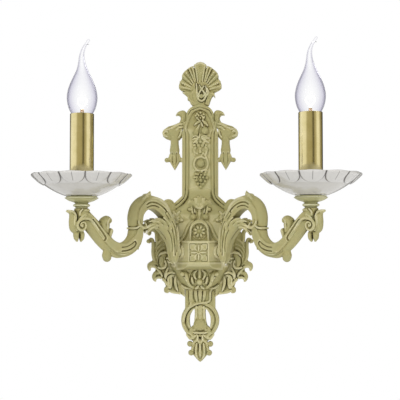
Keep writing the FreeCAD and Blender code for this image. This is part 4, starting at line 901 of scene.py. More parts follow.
def make_backplate():
    """The plate with all its relief: the right half is mirrored, then the column's fruit is laid on."""
    clay = Clay((0, -1, -68), (50, 34, 165), 0.45)
    cuts, (x, d, z) = clay.near((0, 0, -70), (44, 32, 165), 0)
    plate = np.maximum(np.maximum(polygon_field(column_outline(), x, z), -d), d - plate_height(x, z))
    clay.join(cuts, plate.astype(np.float32), 0.4)
    body_relief(clay)
    belly_relief(clay)
    # the hollow behind, the window to the arm housing and the screw holes
    inner = mirrored([(18, -63), (37, -38), (37, 30.5), (19.1, 46.5), (19.1, 126), (17.4, 130), (0.01, 130)])
    clay.plate(inner, -4.0, 11.4, 0.3, 0.2, cut=True)
    clay.plate(mirrored([(32, -37), (32, 24)]), -4.0, 21.0, 0.3, 0.2, cut=True)
    clay.plate(mirrored([(23.9, -30.5), (23.9, -10.7)]), 16.0, 27.0, 0.2, 0.2, cut=True)
    clay.stroke([(30, 6.2, 0, 2.3), (43, 6.2, 0, 2.3)], 1.0, 0.2, cut=True)
    clay.stroke([(12, 8, -40.5, 2), (12, 27, -40.5, 2)], 1.0, 0.2, cut=True)
    clay.unfold()
    column_relief(clay)
    hand_over(clay.cast("backplate_carved", PAINT), "casting", "backplate")


def petals(clay, rows, lift=0.0, flat=0.7, blend=0.3, depth=None):
    """Leaves, each a list of (x, z, radius), smoothed: laid on the surface, or at a depth of their own."""
    for row in rows:
        line = curve([p[:2] for p in row], 4)
        size = np.interp(np.linspace(0, len(row) - 1, len(line)), np.arange(len(row)), [p[2] for p in row])
        if depth is None:
            spots = clay.on([(p[0], p[1], r) for p, r in zip(line, size)], lift)
        else:
            spots = np.column_stack([line[:, 0], 0 * size + depth, line[:, 1], size])
        clay.stroke(spots, flat, blend)


def grooves(clay, rows, radius, lift=0.2, end=None):
    """Thin engraved lines (x, z) that the dark wash collects in and that the tone darkens with painted shade.
    """
    for row in rows:
        engrave(clay, row, radius, lift, end)


def balls(clay, rows, lift=0.0, flat=1.0):
    """Balls (x, z, radius) sunk a little in the surface."""
    for x, z, radius in rows:
        clay.ball(x, clay.front(x, z) + lift, z, radius, flat, 0.2)


def column_relief(clay):
    """Rosette, crossed leaves, pear and apple, vine leaves, berries, a ribbon round a fruit, and grapes."""
    balls(clay, [(0.7, 150.9, 1.6), (-3.4, 149.6, 1.5), (-5, 147.2, 1.4), (4.6, 148.8, 1.5),
                 (-1.6, 147.4, 1.5), (1.8, 147.4, 1.5), (-3.4, 144.6, 1.4), (3.6, 145.4, 1.4),
                 (0.6, 144.4, 1.3)], 0.6, 0.9)
    petals(clay, [[(0.3, 140.3, 0.8), (-2.4, 143, 1), (-4.6, 145.3, 0.5)],
                  [(0.3, 140.3, 0.8), (-3.6, 138.4, 1.5), (-7, 135.2, 0.5)],
                  [(0.3, 140.3, 0.8), (2.2, 137.4, 1), (3.7, 133.9, 0.5)],
                  [(3, 141, 0.7), (4.6, 144.6, 1.5), (5.4, 146.4, 0.6)],
                  [(3, 141, 0.8), (6.4, 138.4, 2.1), (9.8, 134.2, 0.5)]], 0.9, 0.9)
    petals(clay, [[(-0.8, 136.4, 0.6), (-1.9, 133, 1.4), (-3.6, 129.4, 2.4), (-4.6, 126.2, 3.3)]], 1.0, 0.9)
    petals(clay, [[(0.4, 137.4, 0.5), (2.4, 134.6, 0.5), (5.6, 133, 0.5)]], 0.3)
    clay.ball(6.2, 15.4, 128.4, 4.7, 0.85, 0.25)
    clay.stroke([(6, 19.2, 129.8, 0.45), (5.2, 18, 133.2, 0.4)], 1.0, 0.2, cut=True)
    petals(clay, [[(-2, 120.6, 0.8), (-5.4, 122.4, 1.4), (-9.5, 120.4, 0.5)],
                  [(-2.4, 119.4, 0.9), (-5.6, 119, 1.7), (-9.4, 117.4, 0.5)],
                  [(-2.6, 118.2, 0.9), (-5.6, 115.8, 1.6), (-8.4, 113.1, 0.5)],
                  [(1.8, 120.6, 0.8), (5, 122.4, 1.4), (9.4, 121.6, 0.5)],
                  [(2.4, 119.4, 0.9), (7, 119.4, 1.9), (12.2, 119.6, 0.5)],
                  [(2.6, 118.4, 0.9), (6.8, 116, 1.9), (11.3, 113.4, 0.5)],
                  [(-0.6, 120, 0.8), (-0.4, 123.4, 1.3), (-0.1, 126.6, 0.4)]], 0.8, 0.9)
    grooves(clay, [[(-2.6, 120.6), (-8.6, 120.2)], [(-2.8, 118.4), (-7.6, 116.2)],
                   [(2.8, 120), (10.6, 120)],
                   [(3, 118.6), (9.8, 115)]], 0.34, 0.1)
    balls(clay, [(-3.8, 113.9, 2), (0.6, 115, 2.1), (4.6, 113.6, 2.1), (-6.8, 110.7, 1.9), (-1.8, 110.3, 2.3),
                 (3, 110.2, 2.3), (7.4, 110.6, 1.7), (0.3, 106.4, 2.5), (0.3, 102.4, 2.2), (-3.4, 100.4, 1.9),
                 (4, 100.4, 1.9), (1.8, 98.2, 1.4), (-6.4, 98.8, 1.3)], 0.5, 0.8)
    petals(clay, [[(-5.4, 107.6, 1.4), (-7.2, 105, 2.4), (-6.2, 101.6, 1.5)],
                  [(6.4, 108, 1.4), (8.5, 105.2, 2.4), (7.4, 101.8, 1.5)]], 0.4, 0.85)
    grooves(clay, [[(-3.2, 107), (-2.6, 103.4)], [(4.4, 107.2), (4.4, 102.4)]], 0.6, 0.2)
    # ribbon round a smooth fruit
    ring = curve([(8.2, 101), (6.6, 98.6), (7.6, 95.4), (9.3, 91), (9.7, 86.6), (8.2, 82.2), (4.6, 79.9),
                  (0.2, 79.4), (-4, 81), (-6.8, 84.8), (-7, 89.4), (-5.2, 93.4), (-1.4, 95.8), (2.6, 96),
                  (5.4, 94.4)], 4)
    clay.stroke([(x, 15.3, z, 1.35) for x, z in ring], 0.8, 0.3)
    clay.stroke([(x, 16.65, z, 0.35) for x, z in ring], 1.0, 0.2, cut=True)
    clay.ball(0.9, 15.4, 88.0, 4.9, 0.85, 0.25)
    petals(clay, [[(-1, 79, 0.8), (-4.6, 79.6, 1.5), (-8.4, 77.6, 0.5)],
                  [(2.2, 79, 0.8), (6.4, 80, 1.5), (10.2, 78.8, 0.5)]], 0.3)
    # grapes
    clay.stroke([(0.8, 13.6, 74, 6.6), (1, 13.8, 61, 1.6)], 0.25, 0.4)
    balls(clay, [(2.2, 77.7, 1.7), (6.9, 77.3, 1.9), (-4.8, 75.1, 1.9), (-2.3, 74.7, 1.8), (1.5, 74, 1.7),
                 (5.8, 74.3, 1.9), (-6.7, 71.2, 1.9), (-3.8, 71.2, 1.8), (0.1, 71.1, 1.8), (4.1, 70.9, 1.8),
                 (8.6, 70.5, 2.3), (-4.2, 67.4, 2.1), (1.2, 67.2, 2.5), (6.3, 66.2, 2.2), (-2.3, 63.2, 2.2),
                 (4, 62.5, 2.3), (1.1, 59.4, 2.3)], 0.3)


def body_relief(clay):
    """Lily, paired balls on their stems, the leaf between, the shoulder's flower and the niche's flare."""
    petals(clay, [[(0.2, 32, 1.6), (0.8, 38, 2.8), (1.4, 44, 2.9), (1.8, 47, 1.4)],
                  [(0.8, 33, 1.4), (3.4, 38.4, 2.4), (5.4, 43.6, 2.2)],
                  [(1.4, 32.8, 1.5), (5.2, 36.4, 2.6), (9.2, 39.8, 3.2), (12.6, 39.8, 2.1),
                   (14.2, 38.2, 0.8)],
                  [(0, 31, 1.6), (0, 25, 2.2), (0, 19.8, 0.7)]], 0.3, 0.7)
    petals(clay, [[(5.6, 33.4, 0.6), (5.9, 30, 1.2), (5.4, 26.6, 0.6)],
                  [(9.6, 33.6, 1.3), (9, 29, 1.4), (7.6, 25, 1.2)]], 0.7, 0.8)
    grooves(clay, [[(3.1, 47.4), (2.3, 40), (0.6, 33.4)], [(5.7, 44.6), (3.8, 40), (1.4, 34)],
                   [(2.2, 29.5), (2.9, 24), (2.7, 19.4)],
                   [(14.8, 37), (11, 34.9), (7.4, 33.4), (4.4, 31), (1.8, 28)],
                   [(15, 39.6), (11.8, 42.4), (9, 43.2), (8, 45.6), (5.4, 47.2), (3.4, 49), (0.6, 49.6)]],
            0.55, 0.25)
    balls(clay, [(12, 31.3, 2.1), (7.4, 21.9, 3.6)], 1.3)
    grooves(clay, [oval(7.4, 21.9, 4.4, 4.4, np.linspace(-2.4, 1.9, 11))], 0.5, 0.25)
    # flower on the shoulder, with the bead row that hangs from it
    petals(clay, [[(26, 19.4, 1), (29.6, 21.4, 2.2), (31.4, 22, 1)],
                  [(26, 19, 1), (22.4, 18.4, 1.9), (20.2, 18.4, 0.8)],
                  [(26.4, 19.6, 1), (26.8, 23.6, 1.9)], [(26, 18.6, 1), (27.4, 15.6, 1.8)],
                  [(24.6, 28.4, 1.1), (28.6, 24.6, 1.3), (32.4, 29, 1.6)]], 1.1, 0.8)
    balls(clay, [(26.4, 19.2, 1.5)], 1.3)
    grooves(clay, [[(25.4, 27.8), (25.7, 27.4)], [(23.6, 22.4), (26.8, 25.8), (30.2, 24.6)],
                   [(21, 16.4), (24.6, 16.2)]], 1.1, 0.2)
    clay.stroke([(36.6, 15, 32.6, 7.6), (38.9, 15.2, 36.4, 8)], 0.6, 0.8)
    grooves(clay, [[(32.6, 39.4), (36.4, 42.2), (41.6, 41.2), (44.4, 37.4), (43, 33.2), (39.6, 33.2),
                    (38.8, 36.2)]], 0.75, 0.2)
    for x, z in ((29.3, 12.6), (28.6, 9.4), (27.9, 6.2), (27, 3), (26.1, -0.2), (25.2, -3.4)):
        bead(x, clay.front(x, z) + 0.5, z, 1.35)
    # curves that flare from the niche's top to the box, hollow inside
    flare = [(7.8, 17.4), (12.3, 12.3), (15.8, 5.1), (18.9, -1.4), (22.6, -6.4)]
    clay.stroke(clay.on(curve(flare, 5), 0.6, 1.3, 1.5), 0.9, 0.4)
    grooves(clay, [[(x - 2.4, z - 0.8) for x, z in flare[1:]]], 1.1, 0.3)
    grooves(clay, [[(x + 2.2, z + 0.8) for x, z in flare[1:]]], 0.6, 0.2)


def belly_relief(clay):
    """The lower belly: a hood of petals over a ball, ovals beside it and bands that roll up at their ends."""
    petals(clay, [[(20.3, -45.8, 2), (17.3, -47.4, 2.1), (15.4, -51.2, 2), (14.3, -56.1, 1.9),
                   (12.4, -60.4, 2), (8.9, -63.2, 2.1), (5.1, -63.9, 1.8), (1.8, -62.5, 1.3)],
                  [(18.9, -50.9, 0.7), (17, -53.4, 0.9), (15.4, -56.6, 0.5)],
                  [(3.2, -42.8, 1.1), (5.9, -45, 1.4), (6.7, -48, 1.4), (5.6, -51.2, 1.3), (4, -53.6, 0.9)],
                  [(-0.1, -42.8, 1.7), (-0.1, -47.4, 1.9), (-0.1, -51.2, 1.7)],
                  [(9.4, -51.2, 0.9), (9, -54.4, 1.4), (7.9, -58.2, 1.1)],
                  [(1.6, -61.5, 1.1), (3.2, -64, 1.3), (5, -65.2, 1.1)],
                  [(22.6, -60.8, 1), (20.4, -63, 1.3), (16.5, -64.6, 1.3), (11.6, -65.2, 1.1)]], 0.9, 0.9)
    bead(21.0, clay.front(21.0, -47.2) + 0.8, -47.2, 3.3)
    grooves(clay, [[(10.9, -50.1), (11.9, -54.5), (10.8, -58.8), (8.1, -61), (5.1, -60.3)],
                   [(6.7, -52.3), (6.4, -55.5), (5.7, -58.2)],
                   [(4, -42.3), (7.8, -43.9), (10, -46.9), (10.9, -49.6)],
                   [(16.5, -43.8), (12.4, -46.9)],
                   [(2.8, -45.8), (3.3, -49), (3.6, -51.6)],
                   [(24.4, -58.8), (20.3, -61), (12.7, -64.7)]], 0.7, 0.1)
    grooves(clay, [[(0, -63), (0, -64.6)]], 0.9, 0.3)
    # made as a bead, so that its front takes the beads' painted highlight
    bead(0.0, clay.front(5.4, -58.0) + 2.2, -56.9, 4.3)


def cast_pair(clay, name, node, place=None):
    """Casts a right-hand piece, and its mirror image for the left."""
    for side_name, side in SIDES:
        def put(points, side=side):
            """Points in their place in front of the wall, on one side."""
            points = place(points) if place else points.copy()
            points[:, 0] *= side
            return points
        piece = clay.cast(f"{name}_{side_name}", PAINT, put, flip=side < 0)
        hand_over(piece, "casting", node.replace("SIDE", side_name))


def make_crest():
    """The seven-lobed shell over the arch, and the leaves that hold it."""
    clay = Clay((-30, 1, 156), (30, 20, 218), 0.42)
    fan = [(8, 166), (18, 176.6), (23.6, 179.4), (26.4, 182), (26.5, 186.4), (25, 190.4), (22.6, 194.2),
           (22.8, 197.6), (21.6, 200.8), (19, 203.8), (15.4, 206.8), (11.2, 209.4), (8.2, 210), (6.9, 211.8),
           (4.2, 214.2), (0.01, 215.2)]
    clay.plate(mirrored(fan), 2.0, 11.4, 2.2, 0.6)
    clay.stroke([(0, 9, 186, 12), (0, 9, 192, 14)], 0.3, 3.0)
    clay.stroke([(0, 8, 161, 9.4), (0, 8, 170, 8.4)], 0.5, 1.0)
    # soft ribs that spread from the foot, with thin dark lines between the lobes
    ribs = [[(6.4, 210.8), (4.6, 202), (3, 190)], [(9.8, 208.4), (7.4, 200), (5.4, 190)],
            [(13.6, 206.6), (10.4, 198.6), (7.2, 190)], [(18.2, 202.8), (13.2, 195.6), (8.4, 188)],
            [(21.4, 198), (15.4, 192), (10, 186.4)], [(24.4, 190), (17.6, 186.8), (11.4, 183.6)],
            [(25.4, 184.6), (18.4, 182.6), (12, 180.6)]]
    cuts = [[(8.2, 210), (6, 201), (4.2, 190)], [(15.6, 206), (11.4, 197.6), (7.6, 189)],
            [(22.4, 194), (16.4, 189.4), (10.4, 184.6)], [(24.4, 180.6), (18, 180), (11.4, 178.4)],
            [(2.6, 199.6), (1.8, 188.6)], [(20, 200.6), (14.2, 193.6), (9.2, 187.2)],
            [(11.6, 207.6), (8.8, 199.6)]]
    for side in (-1, 1):
        for line in ribs:
            clay.stroke(clay.on(curve([(side * x, z) for x, z in line], 4), 0.1, 1.25, 0.8), 0.9, 0.4)
        for k, line in enumerate(cuts):
            grooves(clay, [[(side * x, z) for x, z in line]], 0.75 if k < 4 else 0.5, 0.1, 0.5)
        balls(clay, [(side * x, z, r) for x, z, r in ((16.2, 200.6, 1), (14.3, 197.4, 0.9),
                                                      (12.4, 194.8, 0.8), (21.6, 187.6, 1.1),
                                                      (19.4, 186.2, 0.9))], 0.5)
    petals(clay, [[(-5.4, 211.4, 0.8), (0, 213.4, 1.1), (5.4, 211.4, 0.8)],
                  [(-3, 202.4, 0.7), (0, 200.4, 0.9), (3, 202.4, 0.7)]], 0.2)
    clay.stroke([(0.0, clay.front(0.0, 207.0) + 1.0, 208.2, 2.4),
                 (0.0, clay.front(0.0, 204.0) + 0.9, 205.0, 1.8)], 1.0, 0.8, cut=True)
    # leaves that hold the shell: a broad one on the left, a hooked one on the right, a looped stem between
    broad = [(-22.4, 177), (-16.2, 178.2), (-10.6, 176.8), (-8, 181.4), (-6, 188.6), (-4.6, 182), (-4, 173),
             (-2, 166.4), (1.6, 163.6), (-2, 161), (-9.2, 159.8), (-12.2, 163.2), (-13, 166), (-15.6, 167.4),
             (-15.6, 171.2), (-18.4, 173.8)]
    hooked = [(9.6, 181.2), (12.4, 176.4), (15, 177.4), (17.6, 175.8), (18.9, 169.6), (16.2, 172.6),
              (14, 169.6), (12.4, 165.4), (10.6, 159.8), (5.8, 161.6), (7, 165.6), (8.4, 171)]
    clay.plate(broad, 2.0, 13.2, 1.5, 0.4)
    clay.plate(hooked, 2.0, 13.2, 1.5, 0.4)
    petals(clay, [[(-4.6, 187.4, 0.7), (-4, 180, 1.1), (-3.4, 172.6, 1.3), (-1.6, 167.6, 1.3),
                   (1.6, 165.8, 1.3), (4.8, 167.2, 1.2), (7.2, 171.4, 1.2), (10, 176, 1), (9, 181.6, 0.6)],
                  [(-1.6, 170.8, 0.8), (-1.4, 174.8, 1.1), (1.6, 180, 1.2), (4.6, 184.2, 0.8)],
                  [(4.6, 171.4, 0.8), (5.2, 175.6, 1.1), (2, 180.6, 1.1), (-1.2, 186, 0.6)],
                  [(6, 172.6, 0.7), (8.2, 178.4, 1), (6.6, 184.4, 0.6)]], 0.0, 0.9, depth=13.6)
    clay.ball(1.6, 13.0, 171.6, 3.0, 0.7, 0.3)
    grooves(clay, [[(-6.8, 165), (-9.4, 170.4), (-8.4, 176.6)],
                   [(-9.6, 164), (-13.2, 170.6), (-19.6, 175.6)],
                   [(8.4, 163.6), (10.8, 169.6), (11.6, 174.6)]], 0.5, 0.1)
    clay.plate(block(-40, 40, 150, 230), -6.0, 5.0, 0.1, 0.3, cut=True)
    hand_over(clay.cast("crest_carved", PAINT), "casting", "crest_shell")


def make_side_scrolls():
    """Side scroll with its hanging drop, drawn on the right."""
    clay = Clay((15, 0, 77), (51, 19, 158), 0.42)
    body = [(19, 139), (25.4, 140), (32.9, 136.8), (39.7, 134.8), (44.8, 131.2), (47.1, 126.8), (46, 122.2),
            (42, 119.2), (37.4, 117.6), (26, 117.6), (23, 121), (19, 124.6)]
    clay.plate(body, 2.0, 12.6, 4.2, 1.0)
    clay.stroke([(31, 8.6, 126.6, 8), (35, 8.6, 126.2, 8)], 0.62, 1.6)
    # the broad leaf that rises beside the arch and turns over
    horn = [(17, 137), (16.4, 146), (17, 151.6), (19.4, 154.2), (22.4, 154.8), (26.6, 153.4), (29.4, 150.8),
            (30.3, 148.2), (27.4, 148.4), (25.2, 147.2), (24.2, 144), (25.2, 139)]
    clay.plate([tuple(p) for p in curve(horn, 3, closed=True)], 2.0, 11.4, 2.6, 1.0)
    clay.stroke([(20.6, 9.6, 141, 3.2), (20.4, 10, 147.6, 3.4), (23, 9.8, 151.4, 2.5), (28, 9, 150.4, 1.2)],
                0.7, 0.8)
    grooves(clay, [[(24.6, 141.6), (23.6, 145), (24.8, 148.6), (28.6, 148.9)]], 0.7, 0.2)
    # leaves folded over the body, and the volute at its end
    petals(clay, [[(20.6, 137.4, 1.2), (26, 136.8, 1.9), (32.6, 133.8, 1.5), (37.6, 131.6, 0.6)],
                  [(21, 133.6, 1.3), (25.6, 133, 1.8), (29.6, 130.2, 0.8)],
                  [(22, 129.6, 1.4), (23.6, 125.8, 1.6), (26.4, 120.4, 0.8)],
                  [(38.4, 131, 0.8), (43, 130.4, 1.3), (45.4, 127, 1.4), (44.4, 123.2, 1.2),
                   (40.6, 121.6, 0.7)],
                  [(40, 127.6, 0.7), (42, 128.8, 0.9), (43.4, 127, 0.8)]], 0.4)
    grooves(clay, [[(39.4, 129.2), (38.6, 125.8), (36.8, 122), (33.4, 119.8)],
                   [(31.8, 131.8), (26.4, 131.2), (23, 131.8)],
                   [(25, 127.6), (26.4, 123.2), (29.6, 119.8)], [(37.4, 133.2), (30, 135.4), (24, 135)]],
            0.55, 0.15)
    grooves(clay, [[(38.4, 127.6), (34.6, 128.8), (31, 127.4), (27, 128.6)]], 0.35, 0.1)
    clay.ball(42.6, clay.front(42.6, 125.6), 125.6, 1.4, 1.0, 0.3, cut=True)
    # neck and rings are turned round the drop's axis, the fleur hangs under them
    axis, depth = 31.6, 10.6
    for low, high, radius in ((107, 119, 5), (104.2, 105.6, 6), (108.8, 109.4, 5.4), (102.4, 103, 5.4)):
        clay.stroke([(axis, depth - 0.4, low, radius), (axis, depth - 0.4, high, radius)], 0.9, 0.5)
    half = ((4.4, 103), (4.6, 98), (5.6, 93.6), (6, 90.6))
    fleur = [(axis + side * x, z) for side in (1, -1) for x, z in half[::side]]
    clay.plate(fleur[:4] + [(axis, 80.2)] + fleur[4:], 4.0, depth + 3.2, 1.8, 0.5)
    clay.stroke([(axis, depth + 2.0, 102.0, 1.5), (axis, depth + 2.4, 92.0, 1.8),
                 (axis, depth + 1.0, 83.0, 0.8)], 0.9, 0.3)
    for side in (1, -1):
        clay.stroke([(axis + 2.6 * side, depth + 3.2, 102.0, 0.5),
                     (axis + 3.0 * side, depth + 3.4, 92.0, 0.9),
                     (axis + 1.6 * side, depth + 3.0, 86.4, 0.3)], 1.0, 0.3, cut=True)
        clay.stroke([(axis + 5.0 * side, depth, 99.4, 1.6), (axis + 5.6 * side, depth, 95.2, 2.2),
                     (axis + 7.6 * side, depth, 92.8, 2.6), (axis + 9.6 * side, depth, 92.8, 2.9)], 0.9, 0.4)
        clay.stroke([(axis + 5.6 * side, depth + 2.6, 98.0, 0.5),
                     (axis + 6.2 * side, depth + 3.0, 94.6, 0.6)], 1.0, 0.3, cut=True)
    clay.stroke([(21.6, 7.4, 92.8, 2.8), (24, 9, 92.8, 2.6)], 1.0, 0.5)
    clay.plate(block(10, 60, 70, 160), -6.0, 4.0, 0.1, 0.3, cut=True)
    clay.plate([(15, 76), (COLUMN_HALF, 76.0), (COLUMN_HALF, 131.0), (20.4, 133), (20.4, 139), (15, 139)],
               -6.0, 15.0, 0.1, 0.3, cut=True)
    cast_pair(clay, "scroll_carved", "side_scroll_SIDE")


def make_leaf_wings():
    """Acanthus wing beside the body, drawn on the right."""
    clay = Clay((13, 6, -77), (71, 27, 14), 0.45)
    web = [(50, 3.7), (53.3, -1), (54.1, -6.8), (57.4, -10.9), (58.5, -20.3), (57.9, -29.7), (61.7, -34.4),
           (62.3, -39.1), (54.1, -39.3), (56.4, -49), (55.8, -52.5), (47, -53.1), (41.4, -59.5),
           (41.7, -67.6), (35.8, -68.9), (24.3, -71.1), (24.3, -57.7), (32.3, -40.2), (35.9, -16.8),
           (40.6, -2.2)]
    clay.plate([(45, 8), *web, (20, -60), (40, -38)], 9.0, 15.9, 1.5, 0.5)
    clay.plate([(36, 7), (50, 4.6), (52, -2), (52, -40), (44, -57), (40.6, -67), (31, -69.6), (24, -71.6),
                (18.7, -75.6), (18.7, -60), (36, -38)], 9.0, 14.8, 1.5, 0.5)
    # stems with rolled ends down the outer edge, the ribs of the leaf, and the curls that turn outwards
    petals(clay, [[(61.8, 2.4, 2.2), (61, 5.2, 1.6), (58, 6.4, 2), (54.8, 5.2, 2.5), (53.2, 2, 2.5),
                   (53.2, -2.7, 2.3), (53.3, -7.4, 1.7), (53, -10.7, 0.8)],
                  [(62.4, -7.7, 2.4), (61.5, -5.1, 1.6), (59.2, -5.1, 2), (57.7, -8, 2.2), (57.5, -13.9, 2.1),
                   (57.8, -20.3, 2.1), (57.3, -26.2, 2), (55.9, -30.9, 1.8), (53.2, -35.2, 1.3),
                   (52, -37.3, 0.7)],
                  [(45.9, -5.1, 1.6), (49.4, -7.4, 1.8), (52.3, -10.9, 1.5), (54.1, -14.8, 0.8)],
                  [(43.8, -10.7, 1.3), (48.2, -12.4, 1.4), (52.1, -16.2, 1.4), (54.1, -20.6, 1)],
                  [(43.5, -15.6, 1.8), (47.9, -18, 1.8), (51.5, -22.1, 1.6), (53.5, -27.3, 1)],
                  [(47.6, -23.2, 1.2), (50.3, -26.2, 1.2), (52, -30.3, 1.2), (51.7, -36.7, 0.8)],
                  [(54.1, -34.4, 2.4), (58.2, -34.4, 3), (61.7, -36.7, 3), (62.3, -40.2, 2.2),
                   (61.7, -42.9, 1.2)],
                  [(49.9, -46.1, 2), (54.1, -46.6, 2.8), (56.1, -50.2, 2.8), (55.8, -53.7, 2.2),
                   (54.6, -56, 1.2)],
                  [(38.2, -63, 1.8), (41.1, -65.3, 2.6), (41.4, -67.9, 2.6), (39.6, -69.4, 1.6)],
                  [(38.2, -67.6, 1.4), (33.5, -69.4, 1.7), (28.8, -70.1, 1.7), (24.3, -71, 1.5)]], flat=0.9,
           depth=15.8)
    # rims of the curls, and the inner leaves that sweep down towards the tab
    petals(clay, [[(61.4, -40.5, 1.2), (59.7, -38.5, 1.5), (55.8, -38.3, 1.8), (52.6, -40.5, 1.9),
                   (49.7, -44, 1.8), (47.6, -47.2, 1.5), (46.1, -50.1, 1)],
                  [(54, -53.7, 1.2), (52, -51.9, 1.5), (48.2, -51.9, 1.8), (44.6, -54.2, 1.9),
                   (41.4, -57.7, 1.8), (38.8, -61.2, 1.6), (37.6, -64.1, 1.2)],
                  [(41.7, -53.1, 1), (41.2, -49.3, 1.5), (38.5, -46.6, 1.7), (34.7, -45.5, 1.7),
                   (30.9, -46.6, 1)],
                  [(38.2, -59.5, 1), (38.8, -55.4, 1.6), (37.9, -51.9, 1.8), (35.3, -49.5, 1.6),
                   (32.3, -49.5, 1)],
                  [(35, -51.3, 1), (35.2, -54.8, 1.8), (35.5, -59.5, 2), (36.1, -64.1, 1.4)],
                  [(29.7, -50.7, 0.9), (30.3, -54.8, 1.7), (30, -59.5, 1.8), (28.5, -64.7, 1.3),
                   (27, -68.2, 0.8)],
                  [(39.1, -39.6, 1), (40.5, -43.1, 1.4), (42.3, -47.2, 1.5), (42.9, -51.3, 1)]], flat=0.9,
           depth=17.4)
    clay.ball(62.2, 17.6, 1.8, 2.3, 1.0, 0.2)
    clay.ball(63.2, 17.4, -7.4, 2.5, 1.0, 0.2)
    # calyx, under the arm's leaf
    clay.stroke([(44.1, 18.2, -23.2, 3.4), (45.6, 18.2, -27.3, 4), (46.1, 18.2, -33.2, 4),
                 (45.8, 18.2, -37.3, 3.4)], 0.7, 0.3)
    petals(clay, [[(50.8, -39.3, 1.2), (47, -40.5, 1.4), (42.9, -39.3, 1.4), (41.3, -36.1, 1.2),
                   (42, -31.4, 0.9)],
                  [(49.7, -25, 1), (47.1, -22.1, 1.4), (42.3, -20.9, 1.6), (37.6, -22.1, 1.4),
                   (35.3, -25, 0.9)],
                  [(40.6, -28.5, 1), (38.2, -27.9, 1.2), (35.9, -29.7, 1.2), (34.7, -32.3, 1.1),
                   (37.6, -33.5, 1), (39.1, -31.4, 0.9)]], flat=1.0, depth=20.4)
    grooves(clay, [[(43.8, -27.9), (44.1, -33.2), (44.7, -37.9)],
                   [(48.2, -56), (45.2, -51)],
                   [(32.3, -52.5), (32.3, -59.5), (31.4, -66.5)],
                   [(39.6, -60.1), (40.5, -54.8)]], 0.7, 0.1)
    clay.plate(block(0, 80, -80, 20), 0.0, 10.5, 0.1, 0.2, cut=True)
    clay.plate([(0, -62), (19.6, -66), (40, -40), (40, 20), (0, 20)], 0.0, 15.6, 0.1, 0.3, cut=True)
    cast_pair(clay, "wing_carved", "leaf_wing_SIDE")


